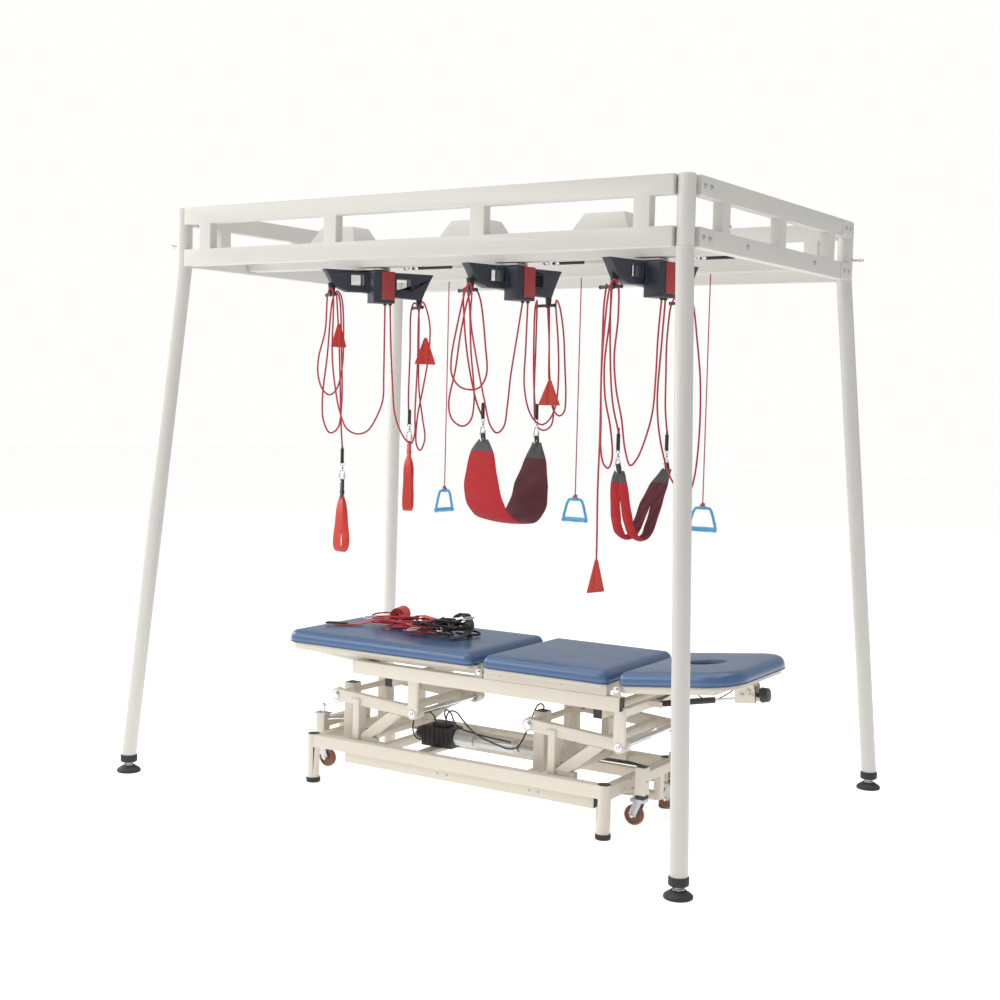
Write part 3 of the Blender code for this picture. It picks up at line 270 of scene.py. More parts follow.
def piece(name, bm, finishes, body, place=HOME, edge=0.0, angle=38.0, tidy=True):
    """Makes an object from a drawing and lets it ride on a body."""
    if tidy:
        bmesh.ops.recalc_face_normals(bm, faces=bm.faces)
    if edge:
        round_edges(bm, edge)
    mesh = bpy.data.meshes.new(name)
    bm.to_mesh(mesh)
    bm.free()
    mesh.transform(place)
    for finish in finishes if isinstance(finishes, (list, tuple)) else (finishes,):
        mesh.materials.append(finish)
    mesh.shade_smooth()
    mesh.set_sharp_from_angle(angle=math.radians(angle))
    obj = bpy.data.objects.new(name, mesh)
    bpy.context.scene.collection.objects.link(obj)
    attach(obj, body)
    return obj


def dressed(node, finishes, body, edge=0.0012, choose=None, name=None):
    """Shows a CAD shape again, with rounded edges and real finishes, and hides the CAD node."""
    bm = bmesh.new()
    bm.from_mesh(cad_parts[node].data)
    bmesh.ops.remove_doubles(bm, verts=bm.verts, dist=1e-5)
    bmesh.ops.dissolve_limit(bm, angle_limit=0.01, verts=bm.verts, edges=bm.edges)
    for face in bm.faces:
        face.material_index = 0
    if edge:
        round_edges(bm, edge)
    bmesh.ops.recalc_face_normals(bm, faces=bm.faces)
    if choose:
        for face in bm.faces:
            face.material_index = choose(face.calc_center_median(), face.normal)
    obj = piece(name or node + "_made", bm, finishes, body, tidy=False)
    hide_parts(node)
    return obj


# %% [markdown]
# ## Where things are
#
# The couch stands turned by two degrees and each suspension unit hangs at its
# own angle.  A matrix for each of them lets their pieces be drawn square, as
# on the bench, and then put in place.

# %% Places of the couch, its head section and the units
COUCH = Matrix.Translation((0.0, -0.22, 0.0)) @ Matrix.Rotation(math.radians(2.0), 4, "Z")
HEAD_HINGE = Vector((0.783, 0.0, 0.545))
HEAD = (COUCH @ Matrix.Translation(HEAD_HINGE) @ Matrix.Rotation(math.radians(-6.0), 4, "Y")
        @ Matrix.Translation(-HEAD_HINGE))
UNIT_SPOTS = ((-0.47, -0.27, 59.0), (0.19, -0.28, 74.0), (0.79, -0.29, 76.0))
UNITS = [Matrix.Translation((x, y, 0.0)) @ Matrix.Rotation(math.radians(a), 4, "Z")
         for x, y, a in UNIT_SPOTS]
print("unit centres", [tuple(round(v, 2) for v in u.translation) for u in UNITS])

# %% [markdown]
# ## Finishes: shared effects
#
# Four effects turn up on many parts, so each is a node group that is built
# once: a slow drift of tone, a fine grain, a braid that follows a rope's own
# length, and a woven web for straps.  Each puts out values that change over
# the surface, and the plain numbers stay on the shader.

# %% Node group helpers
def effect(name, inputs, outputs):
    """An empty shader node group with named sockets."""
    group = bpy.data.node_groups.new(name, "ShaderNodeTree")
    for label, kind, value in inputs:
        socket = group.interface.new_socket(label, in_out="INPUT", socket_type="NodeSocket" + kind)
        if value is not None:
            socket.default_value = value
    for label, kind in outputs:
        group.interface.new_socket(label, in_out="OUTPUT", socket_type="NodeSocket" + kind)
    return group, group.nodes.new("NodeGroupInput"), group.nodes.new("NodeGroupOutput")


def step(tree, kind, settings=(), **inputs):
    """A node with its settings made and its sockets filled or linked."""
    node = tree.nodes.new("ShaderNode" + kind)
    for key, value in dict(settings).items():
        setattr(node, key, value)
    for key, value in inputs.items():
        socket = node.inputs[int(key[1:]) if key[0] == "_" and key[1:].isdigit()
                             else key.replace("_", " ")]
        if isinstance(value, bpy.types.NodeSocket):
            tree.links.new(value, socket)
        else:
            socket.default_value = value
    return node


def sums(tree, operation, a, b=0.0, c=0.0):
    return step(tree, "Math", {"operation": operation}, _0=a, _1=b, _2=c).outputs[0]


# %% Tone drift and grain
def make_tone_drift():
    """Slow light and dark patches, and dust that settles on what faces up."""
    group, given, result = effect("tone_drift", (
        ("Vector", "Vector", None), ("Colour", "Color", (0.8, 0.8, 0.8, 1.0)),
        ("Dust Colour", "Color", (0.62, 0.58, 0.52, 1.0)), ("Scale", "Float", 3.0),
        ("Drift", "Float", 0.05), ("Dust", "Float", 0.08)), (("Colour", "Color"), ("Mask", "Float")))
    slow = step(group, "TexNoise", Vector=given.outputs["Vector"], Scale=given.outputs["Scale"],
                Detail=5.0, Roughness=0.6)
    lift = sums(group, "MULTIPLY_ADD", slow.outputs["Fac"], 2.0, -1.0)
    gain = sums(group, "MULTIPLY_ADD", lift, given.outputs["Drift"], 1.0)
    toned = step(group, "VectorMath", {"operation": "SCALE"}, _0=given.outputs["Colour"], Scale=gain)
    facing = step(group, "SeparateXYZ", _0=step(group, "NewGeometry").outputs["Normal"])
    upward = sums(group, "MAXIMUM", facing.outputs["Z"], 0.0)
    fine = step(group, "TexNoise", Vector=given.outputs["Vector"], Scale=38.0, Detail=3.0)
    settled = sums(group, "MULTIPLY", sums(group, "MULTIPLY", upward, fine.outputs["Fac"]),
                   given.outputs["Dust"])
    mixed = step(group, "Mix", {"data_type": "RGBA"}, _0=settled, _6=toned.outputs[0],
                 _7=given.outputs["Dust Colour"])
    group.links.new(mixed.outputs[2], result.inputs["Colour"])
    group.links.new(slow.outputs["Fac"], result.inputs["Mask"])
    return group


def make_grain():
    """Fine irregular bumps: orange peel on paint, pores on vinyl, sand on plastic."""
    group, given, result = effect("fine_grain", (
        ("Vector", "Vector", None), ("Scale", "Float", 400.0), ("Pebble", "Float", 0.5)),
        (("Height", "Float"),))
    soft = step(group, "TexNoise", Vector=given.outputs["Vector"], Scale=given.outputs["Scale"],
                Detail=2.0)
    cells = step(group, "TexVoronoi", {"feature": "SMOOTH_F1"}, Vector=given.outputs["Vector"],
                 Scale=given.outputs["Scale"])
    mixed = step(group, "Mix", {"data_type": "FLOAT"}, _0=given.outputs["Pebble"],
                 _2=soft.outputs["Fac"], _3=cells.outputs["Distance"])
    group.links.new(mixed.outputs[0], result.inputs["Height"])
    return group


# %% Braid and web
def make_braid():
    """Two sets of strands wound both ways round a rope; U is its length, V its girth."""
    group, given, result = effect("rope_braid", (
        ("UV", "Vector", None), ("Pitch", "Float", 90.0), ("Strands", "Float", 8.0)),
        (("Height", "Float"), ("Shade", "Float")))
    part = step(group, "SeparateXYZ", _0=given.outputs["UV"])
    along = sums(group, "MULTIPLY", part.outputs["X"], given.outputs["Pitch"])
    around = sums(group, "MULTIPLY", part.outputs["Y"], given.outputs["Strands"])
    tau = 2.0 * math.pi
    waves = []
    for sign in (1.0, -1.0):
        lean = sums(group, "MULTIPLY_ADD", around, sign, along)
        waves.append(sums(group, "SINE", sums(group, "MULTIPLY", lean, tau)))
    lap = sums(group, "MULTIPLY", waves[0], waves[1])
    height = sums(group, "MULTIPLY_ADD", lap, 0.5, 0.5)
    shade = sums(group, "MULTIPLY_ADD", lap, 0.14, 0.93)
    group.links.new(height, result.inputs["Height"])
    group.links.new(shade, result.inputs["Shade"])
    return group


def make_web():
    """The over and under of woven strap, in metres on the surface."""
    group, given, result = effect("strap_web", (
        ("Vector", "Vector", None), ("Threads", "Float", 420.0)),
        (("Height", "Float"), ("Shade", "Float")))
    part = step(group, "SeparateXYZ", _0=given.outputs["Vector"])
    tau = 2.0 * math.pi
    slant = sums(group, "ADD", part.outputs["X"], part.outputs["Y"])
    waves = []
    for way in (slant, part.outputs["Z"]):
        run = sums(group, "MULTIPLY", way, given.outputs["Threads"])
        waves.append(sums(group, "SINE", sums(group, "MULTIPLY", run, tau)))
    lap = sums(group, "MULTIPLY", waves[0], waves[1])
    group.links.new(sums(group, "MULTIPLY_ADD", lap, 0.5, 0.5), result.inputs["Height"])
    group.links.new(sums(group, "MULTIPLY_ADD", lap, 0.10, 0.95), result.inputs["Shade"])
    return group


TONE_DRIFT, FINE_GRAIN, ROPE_BRAID, STRAP_WEB = make_tone_drift(), make_grain(), make_braid(), make_web()
print("shared effects", [g.name for g in bpy.data.node_groups])

# %% [markdown]
# ## Finishes: the materials
#
# One function lays the common base: drifting tone, dust, a fine grain as a
# bump and a roughness that varies a little.  Every finish is then its own set
# of values, and cloth adds its weave.  Paint is satin and slightly pebbled,
# vinyl is glossier with a fine pore, and rope and webbing are dull.

# %% The common base of a finish
def finish(name, colour, rough, metal=0.0, drift=0.04, drift_scale=3.0, dust=0.06,
           dust_colour=(0.60, 0.57, 0.52), grain=400.0, pebble=0.3, bump=0.05, vary=0.08,
           coat=0.0, coat_rough=0.2, sheen=0.0, weave=None, weave_bump=0.4, weave_size=None,
           anisotropic=0.0):
    mat = bpy.data.materials.new(name)
    mat.use_nodes = True
    tree = mat.node_tree
    shader = tree.nodes["Principled BSDF"]
    where = step(tree, "TexCoord")
    tone = step(tree, "Group", {"node_tree": TONE_DRIFT}, Vector=where.outputs["Object"],
                Colour=(*colour, 1.0), Dust_Colour=(*dust_colour, 1.0), Scale=drift_scale,
                Drift=drift, Dust=dust)
    seen = tone.outputs["Colour"]
    texture = step(tree, "Group", {"node_tree": FINE_GRAIN}, Vector=where.outputs["Object"],
                   Scale=grain, Pebble=pebble)
    height = texture.outputs["Height"]
    normal = step(tree, "Bump", Strength=bump, Distance=0.0004, Height=height).outputs["Normal"]
    if weave:
        source = where.outputs["UV"] if weave is ROPE_BRAID else where.outputs["Object"]
        cloth = tree.nodes.new("ShaderNodeGroup")
        cloth.node_tree = weave
        tree.links.new(source, cloth.inputs[0])
        if weave_size:
            cloth.inputs[1].default_value = weave_size
        seen = step(tree, "VectorMath", {"operation": "SCALE"}, _0=seen,
                    Scale=cloth.outputs["Shade"]).outputs[0]
        normal = step(tree, "Bump", Strength=weave_bump, Distance=0.0008,
                      Height=cloth.outputs["Height"], Normal=normal).outputs["Normal"]
    tree.links.new(seen, shader.inputs["Base Color"])
    tree.links.new(normal, shader.inputs["Normal"])
    spread = step(tree, "MapRange", Value=tone.outputs["Mask"], From_Min=0.3, From_Max=0.7,
                  To_Min=max(rough - vary, 0.03), To_Max=min(rough + vary, 1.0))
    tree.links.new(spread.outputs["Result"], shader.inputs["Roughness"])
    shader.inputs["Metallic"].default_value = metal
    shader.inputs["Coat Weight"].default_value = coat
    shader.inputs["Coat Roughness"].default_value = coat_rough
    shader.inputs["Sheen Weight"].default_value = sheen
    shader.inputs["Anisotropic"].default_value = anisotropic
    return mat


# %% Paint, rubber and metal
FRAME_PAINT = finish("frame_paint", (0.600, 0.585, 0.555), 0.42, bump=0.10, grain=260.0,
                     coat=0.12, drift=0.03)
COUCH_PAINT = finish("couch_paint", (0.690, 0.640, 0.555), 0.40, bump=0.10, grain=260.0,
                     coat=0.12, drift=0.035, dust=0.10)
TRACK_METAL = finish("track_metal", (0.66, 0.67, 0.68), 0.38, metal=0.85, grain=700.0, bump=0.05)
BRIGHT_STEEL = finish("bright_steel", (0.70, 0.71, 0.73), 0.20, metal=1.0, drift=0.08,
                      drift_scale=20.0, bump=0.04, vary=0.08, dust=0.02)
DULL_STEEL = finish("dull_steel", (0.52, 0.53, 0.55), 0.36, metal=0.95, drift=0.10,
                    drift_scale=15.0, bump=0.06, dust=0.05)
RUST_STEEL = finish("rusted_steel", (0.34, 0.17, 0.09), 0.70, metal=0.2, drift=0.35,
                    drift_scale=45.0, bump=0.35)
RUBBER = finish("black_rubber", (0.020, 0.019, 0.018), 0.62, bump=0.25, dust=0.10)
BLACK_PLASTIC = finish("black_plastic", (0.022, 0.022, 0.024), 0.42, bump=0.15, dust=0.06)
BOLT_BLACK = finish("bolt_black", (0.065, 0.062, 0.060), 0.40, metal=0.6, bump=0.08)
UNIT_PLASTIC = finish("unit_plastic", (0.020, 0.025, 0.038), 0.46, bump=0.30, grain=900.0,
                      pebble=0.8, dust=0.05)
UNIT_RED = finish("unit_red_panel", (0.33, 0.035, 0.035), 0.45, bump=0.10, drift=0.10,
                  drift_scale=22.0)
HANDLE_BLUE = finish("handle_plastic", (0.08, 0.38, 0.68), 0.33, bump=0.08, coat=0.15, drift=0.04)
WHEEL_BROWN = finish("wheel_tread", (0.19, 0.085, 0.045), 0.46, bump=0.10, drift=0.14,
                     drift_scale=25.0, dust=0.18)
CABLE_BLACK = finish("cable_black", (0.018, 0.018, 0.019), 0.50, bump=0.06)
print("hard finishes made")

# %% Rope, webbing, sling cloth and vinyl
ROPE_RED = finish("rope_red", (0.50, 0.022, 0.040), 0.72, bump=0.10, drift=0.10, drift_scale=9.0,
                  weave=ROPE_BRAID, sheen=0.25, weave_size=110.0, weave_bump=0.55, dust=0.0)
CORD_PINK = finish("pull_cord_red", (0.52, 0.055, 0.085), 0.70, drift=0.10, drift_scale=12.0,
                   weave=ROPE_BRAID, weave_size=150.0, weave_bump=0.5, sheen=0.25, dust=0.0)
ROPE_BLACK = finish("rope_black", (0.016, 0.015, 0.017), 0.74, drift=0.10, weave=ROPE_BRAID,
                    weave_size=110.0, weave_bump=0.55, sheen=0.2, dust=0.0)
STRAP_ORANGE = finish("strap_orange_red", (0.66, 0.045, 0.028), 0.62, drift=0.06,
                      weave=STRAP_WEB, weave_size=420.0, sheen=0.2, dust=0.02)
SLING_RED = finish("sling_red", (0.40, 0.006, 0.012), 0.88, drift=0.10, drift_scale=14.0,
                   weave=STRAP_WEB, weave_size=330.0, weave_bump=0.5, sheen=0.04, dust=0.0)
SLING_MAROON = finish("sling_maroon", (0.100, 0.010, 0.020), 0.88, drift=0.14, drift_scale=18.0,
                      weave=STRAP_WEB, weave_size=330.0, weave_bump=0.5, sheen=0.12, dust=0.0)
SLING_GREY = finish("sling_grey", (0.045, 0.046, 0.050), 0.75, drift=0.12, drift_scale=18.0,
                    weave=STRAP_WEB, weave_size=330.0, weave_bump=0.6, sheen=0.3, dust=0.0)
STRAP_BLACK = finish("strap_black", (0.014, 0.014, 0.016), 0.70, drift=0.08,
                     weave=STRAP_WEB, weave_size=420.0, sheen=0.2, dust=0.0)
VINYL_BLUE = finish("cushion_vinyl", (0.052, 0.122, 0.262), 0.32, grain=520.0, pebble=0.85,
                    bump=0.32, drift=0.07, drift_scale=5.0, vary=0.09, coat=0.60,
                    coat_rough=0.24, dust=0.05, dust_colour=(0.45, 0.50, 0.58))
# A darker copy of the cushion vinyl: painted shade, used on the walls of the face hole and on the welt
# at the foot of each cushion.
VINYL_PAINTED_SHADE = finish("vinyl_painted_shade", (0.030, 0.075, 0.165), 0.42, grain=520.0, pebble=0.85,
                    bump=0.30, drift=0.07)
print("materials", len(bpy.data.materials))

# %% [markdown]
# ## The ropes
#
# Every unit has two 7 mm braided ropes.  Each leaves the nose of its unit,
# drops in a long slack loop and is then hooked up over a peg again and again,
# so that the spare length hangs in loops; it ends in a snap hook.  A rope that
# hangs in loops keeps its shape, so no simulation is needed: the route is a
# list of points in the unit's own frame, and a smooth curve goes through them.
# The tube carries its own length as a UV, so the braid keeps its pitch.

# %% Rope routes
ROPE_R = 0.0035
NOSE_EXIT = 1.937 - 0.0012
ROPE_ROUTES = {
    "rope_left_1": (0, (
        (0.012, -0.050, NOSE_EXIT), (0.016, -0.040, 1.80), (0.020, -0.030, 1.65),
        (0.018, -0.030, 1.55), (-0.005, -0.030, 1.485), (-0.045, -0.030, 1.424),
        (-0.090, -0.030, 1.410), (-0.135, -0.030, 1.432), (-0.165, -0.030, 1.50),
        (-0.185, -0.030, 1.59), (-0.200, -0.028, 1.72), (-0.200, -0.024, 1.971),
        (-0.207, -0.016, 1.990), (-0.215, -0.008, 1.971), (-0.222, 0.0, 1.82),
        (-0.248, 0.0, 1.71), (-0.248, 0.0, 1.64), (-0.228, 0.0, 1.585),
        (-0.200, 0.0, 1.565), (-0.172, 0.0, 1.585), (-0.150, 0.0, 1.66),
        (-0.143, 0.002, 1.78), (-0.155, 0.006, 1.961), (-0.170, 0.012, 1.981),
        (-0.183, 0.018, 1.961), (-0.205, 0.020, 1.72), (-0.222, 0.020, 1.55),
        (-0.216, 0.020, 1.46), (-0.188, 0.020, 1.412), (-0.155, 0.022, 1.43),
        (-0.138, 0.028, 1.52), (-0.140, 0.034, 1.74), (-0.152, 0.040, 1.961),
        (-0.160, 0.050, 1.976), (-0.155, 0.060, 1.956), (-0.142, 0.056, 1.75),
        (-0.138, 0.030, 1.45), (-0.138, 0.008, 1.345))),
    "rope_right_1": (0, (
        (0.034, -0.050, NOSE_EXIT), (0.044, -0.040, 1.78), (0.060, -0.030, 1.60),
        (0.070, -0.030, 1.50), (0.092, -0.030, 1.435), (0.122, -0.030, 1.388),
        (0.146, -0.030, 1.374), (0.160, -0.030, 1.41), (0.160, -0.030, 1.50),
        (0.168, -0.026, 1.70), (0.176, -0.020, 1.936), (0.190, -0.014, 1.954),
        (0.204, -0.008, 1.941), (0.230, 0.0, 1.86), (0.226, 0.0, 1.73),
        (0.205, 0.0, 1.60), (0.183, 0.0, 1.48), (0.181, 0.0, 1.37),
        (0.198, 0.0, 1.345), (0.219, 0.002, 1.39), (0.208, 0.006, 1.48),
        (0.192, 0.012, 1.60), (0.190, 0.018, 1.78), (0.184, 0.024, 1.936),
        (0.172, 0.030, 1.952), (0.162, 0.036, 1.931), (0.158, 0.034, 1.74),
        (0.152, 0.026, 1.56), (0.150, 0.008, 1.455))),
    "rope_left_2": (1, (
        (0.010, -0.050, NOSE_EXIT), (-0.004, -0.038, 1.80), (-0.024, -0.030, 1.65),
        (-0.036, -0.030, 1.54), (-0.052, -0.030, 1.46), (-0.085, -0.030, 1.437),
        (-0.118, -0.030, 1.465), (-0.150, -0.030, 1.56), (-0.195, -0.030, 1.72),
        (-0.222, -0.026, 1.86), (-0.218, -0.022, 1.971), (-0.224, -0.014, 1.990),
        (-0.232, -0.008, 1.971), (-0.262, 0.0, 1.84), (-0.288, 0.0, 1.71),
        (-0.284, 0.0, 1.65), (-0.250, 0.0, 1.61), (-0.200, 0.0, 1.597),
        (-0.150, 0.0, 1.607), (-0.118, 0.0, 1.655), (-0.124, 0.002, 1.76),
        (-0.158, 0.006, 1.951), (-0.176, 0.012, 1.974), (-0.192, 0.018, 1.956),
        (-0.228, 0.020, 1.82), (-0.252, 0.020, 1.67), (-0.280, 0.020, 1.54),
        (-0.262, 0.020, 1.485), (-0.212, 0.020, 1.460), (-0.172, 0.022, 1.482),
        (-0.152, 0.028, 1.56), (-0.168, 0.034, 1.74), (-0.186, 0.040, 1.961),
        (-0.194, 0.050, 1.976), (-0.190, 0.060, 1.956), (-0.172, 0.056, 1.75),
        (-0.142, 0.030, 1.56), (-0.126, 0.006, 1.492))),
    "rope_right_2": (1, (
        (0.036, -0.050, NOSE_EXIT), (0.040, -0.040, 1.76), (0.046, -0.030, 1.62),
        (0.070, -0.030, 1.53), (0.105, -0.030, 1.485), (0.142, -0.030, 1.470),
        (0.178, -0.030, 1.488), (0.210, -0.030, 1.54), (0.222, -0.030, 1.65),
        (0.218, -0.026, 1.80), (0.205, -0.022, 1.936), (0.216, -0.014, 1.954),
        (0.236, -0.008, 1.936), (0.268, 0.0, 1.84), (0.282, 0.0, 1.70),
        (0.291, 0.0, 1.58), (0.284, 0.0, 1.52), (0.258, 0.0, 1.505),
        (0.228, 0.002, 1.53), (0.206, 0.006, 1.64), (0.204, 0.010, 1.80),
        (0.196, 0.014, 1.936), (0.206, 0.020, 1.952), (0.214, 0.026, 1.936),
        (0.226, 0.026, 1.66), (0.250, 0.024, 1.52), (0.238, 0.024, 1.465),
        (0.200, 0.024, 1.447), (0.164, 0.026, 1.465), (0.152, 0.030, 1.56),
        (0.158, 0.036, 1.76), (0.164, 0.042, 1.936), (0.170, 0.050, 1.952),
        (0.170, 0.058, 1.931), (0.162, 0.052, 1.75), (0.152, 0.030, 1.58),
        (0.146, 0.006, 1.492))),
    "rope_left_3": (2, (
        (0.004, -0.050, NOSE_EXIT), (0.002, -0.040, 1.80), (0.008, -0.030, 1.66),
        (-0.004, -0.030, 1.53), (-0.040, -0.030, 1.43), (-0.080, -0.030, 1.362),
        (-0.112, -0.030, 1.342), (-0.140, -0.030, 1.395), (-0.165, -0.030, 1.51),
        (-0.196, -0.030, 1.61), (-0.208, -0.028, 1.72), (-0.190, -0.024, 1.86),
        (-0.192, -0.020, 1.971), (-0.202, -0.012, 1.990), (-0.214, -0.006, 1.971),
        (-0.234, 0.0, 1.80), (-0.241, 0.0, 1.63), (-0.236, 0.0, 1.50),
        (-0.233, 0.0, 1.40), (-0.216, 0.0, 1.346), (-0.190, 0.002, 1.332),
        (-0.168, 0.006, 1.365), (-0.176, 0.010, 1.47), (-0.204, 0.014, 1.58),
        (-0.208, 0.018, 1.70), (-0.184, 0.022, 1.85), (-0.172, 0.028, 1.961),
        (-0.164, 0.036, 1.978), (-0.158, 0.044, 1.956), (-0.158, 0.040, 1.74),
        (-0.152, 0.026, 1.56), (-0.140, 0.006, 1.462))),
    "rope_right_3": (2, (
        (0.024, -0.050, NOSE_EXIT), (0.021, -0.040, 1.76), (0.020, -0.030, 1.58),
        (0.022, -0.040, 1.47), (0.034, -0.056, 1.375), (0.062, -0.066, 1.30),
        (0.098, -0.070, 1.260), (0.136, -0.070, 1.240), (0.174, -0.066, 1.248),
        (0.212, -0.052, 1.295), (0.246, -0.036, 1.39), (0.264, -0.026, 1.52),
        (0.264, -0.020, 1.66), (0.244, -0.016, 1.80), (0.216, -0.012, 1.936),
        (0.204, -0.006, 1.954), (0.194, 0.0, 1.936), (0.186, 0.0, 1.80),
        (0.192, 0.0, 1.60), (0.206, 0.0, 1.525), (0.222, 0.004, 1.56),
        (0.214, 0.010, 1.72), (0.184, 0.018, 1.936), (0.168, 0.026, 1.952),
        (0.152, 0.032, 1.931), (0.134, 0.034, 1.80), (0.130, 0.030, 1.66),
        (0.122, 0.020, 1.54), (0.120, 0.006, 1.452))),
    "rope_long_3": (2, (
        (-0.188, 0.038, 1.978), (-0.199, 0.038, 1.90), (-0.203, 0.036, 1.80),
        (-0.204, 0.036, 1.66), (-0.202, 0.036, 1.45), (-0.205, 0.036, 1.25),
        (-0.202, 0.036, 1.10), (-0.201, 0.036, 1.003))),
}


# %% Lay the ropes
def lay_rope(name, route, place, body, finish, radius=ROPE_R, per_span=7,
             sides=10):
    """A braided rope along a route, and the path and length that it came to."""
    path = [place @ p for p in smooth_route(route, per_span)]
    bm = bmesh.new()
    length = bent_rod(bm, path, radius, sides=sides)
    return piece(name, bm, finish, body, tidy=False), path, length


for rope_name, (spot, route) in ROPE_ROUTES.items():
    made, path, length = lay_rope(rope_name + "_braid", route, UNITS[spot],
                                  "unit_%d" % (spot + 1), ROPE_RED)
    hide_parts(rope_name)
    print(rope_name, "is", round(length, 2), "m long")

# %% [markdown]
# The three pull cords are thinner.  They hang straight from the rear track
# under the weight of their handles.

# %% Lay the pull cords
PULL_CORD_R = 0.0025
HANDLE_SPOTS = ((-0.536, 1.055, 86.0), (0.141, 1.055, 0.0), (0.731, 1.055, 8.0))
HANDLE_TALL = 0.108
TRACK_Y, TRACK_BOTTOM = 0.31, 2.080
for k, (x, low, turn) in enumerate(HANDLE_SPOTS, 1):
    top, end = TRACK_BOTTOM - 0.004, low + HANDLE_TALL + 0.0003
    route = [(x, TRACK_Y, top + (end - top) * i / 8) for i in range(9)]
    made, path, length = lay_rope("pull_cord_%d_braid" % k, route, HOME, "pull_%d" % k, CORD_PINK,
                                  PULL_CORD_R, 2)
    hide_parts("pull_cord_%d" % k)
    print("pull cord", k, "is", round(length, 2), "m long")

# %% [markdown]
# ## Snap hooks, sleeves and grips
#
# A black sleeve grips each rope end, a steel swivel hangs from it, and a snap
# hook closes below.  The hook is one rod bent into a long ring with a gate in
# its side, because that is how it is forged.

# %% Hook, swivel and sleeve
def ring_path(centre, half_u, half_z, count=36, lean=0.0):
    """A flat oval in the u-z plane."""
    out = []
    for i in range(count):
        t = 2.0 * math.pi * i / count
        out.append((centre[0] + half_u * math.cos(t) + lean * math.sin(t), centre[1],
                    centre[2] + half_z * math.sin(t)))
    return out


def snap_hook(name, u, v, low, high, place, body):
    """Swivel, eye and gated ring between two heights."""
    bm = bmesh.new()
    eye_r = 0.0085
    eye_z = high - eye_r
    bent_rod(bm, ring_path((u, v, eye_z), eye_r, eye_r, 24), 0.0022, closed=True)
    neck_low, neck_high = high - 0.034, eye_z - eye_r + 0.001
    turned(bm, ((0.0, 0.0), (0.0052, 0.0), (0.0062, 0.003), (0.0062, 0.009), (0.0040, 0.013),
                (0.0032, neck_high - neck_low), (0.0, neck_high - neck_low)),
           (u, v, neck_low), sides=16)
    half = (neck_low - low) / 2
    body_path = []
    for i in range(30):
        t = math.pi / 2 + 2.0 * math.pi * i / 30
        squeeze = 1.0 + 0.18 * math.sin(t)
        body_path.append((u + 0.0110 * squeeze * math.cos(t), v, low + half + half * math.sin(t)))
    bent_rod(bm, body_path, 0.0030, closed=True)
    round_bar(bm, (u + 0.0105, v, low + half * 0.55), (u + 0.0112, v, low + half * 1.45), 0.0040,
              sides=14)
    return piece(name, bm, BRIGHT_STEEL, body, place)


def rope_sleeve(name, u, v, low, high, place, body, radius=0.0072):
    """A ribbed rubber sleeve with tapered ends."""
    bm = bmesh.new()
    tall = high - low
    profile = [(0.0, 0.0), (radius * 0.72, 0.0), (radius, tall * 0.08)]
    for i in range(5):
        z = tall * (0.20 + 0.14 * i)
        profile += [(radius, z), (radius * 0.90, z + tall * 0.02), (radius * 0.90, z + tall * 0.05),
                    (radius, z + tall * 0.07)]
    profile += [(radius, tall * 0.92), (radius * 0.60, tall), (0.0, tall)]
    turned(bm, profile, (u, v, low), sides=20)
    return piece(name, bm, RUBBER, body, place)


ROPE_ENDS = {
    "rope_left_1": (-0.138, 0.008, 1.345, 1.213), "rope_right_1": (0.151, 0.008, 1.455, 1.372),
    "rope_left_2": (-0.1255, 0.006, 1.492, 1.402), "rope_right_2": (0.1455, 0.006, 1.492, 1.392),
    "rope_left_3": (-0.1385, 0.006, 1.462, 1.316), "rope_right_3": (0.1195, 0.006, 1.452, 1.318),
}
SPLICES = {"rope_left_1": 0.052, "rope_left_3": 0.066, "rope_right_3": 0.058}
hooks = {}
for rope_name, (u, v, end, hook_low) in ROPE_ENDS.items():
    spot = ROPE_ROUTES[rope_name][0]
    body = "unit_%d" % (spot + 1)
    slot = "sling_fabric"
    drop = SPLICES.get(rope_name, 0.0)
    hook = snap_hook(rope_name + "_hook", u, v, hook_low, end - drop + 0.002, UNITS[spot], body)
    sleeve = rope_sleeve(rope_name + "_sleeve", u, v, end - drop - 0.004, end - drop + 0.058,
                         UNITS[spot], body)
    hooks[rope_name] = [hook, sleeve]
    if drop:
        bm = bmesh.new()
        bent_rod(bm, [(u, v, end + 0.012 - (drop + 0.016) * i / 12) for i in range(13)], 0.0046)
        hooks[rope_name].append(piece(rope_name + "_splice", bm, ROPE_RED, body,
                                      UNITS[spot]))
print("rope ends", len(hooks))

# %% [markdown]
# The orange-red grips are flat triangular loops of strap with a stitched
# middle.  They are threaded on the ropes so that a hand can pull there.

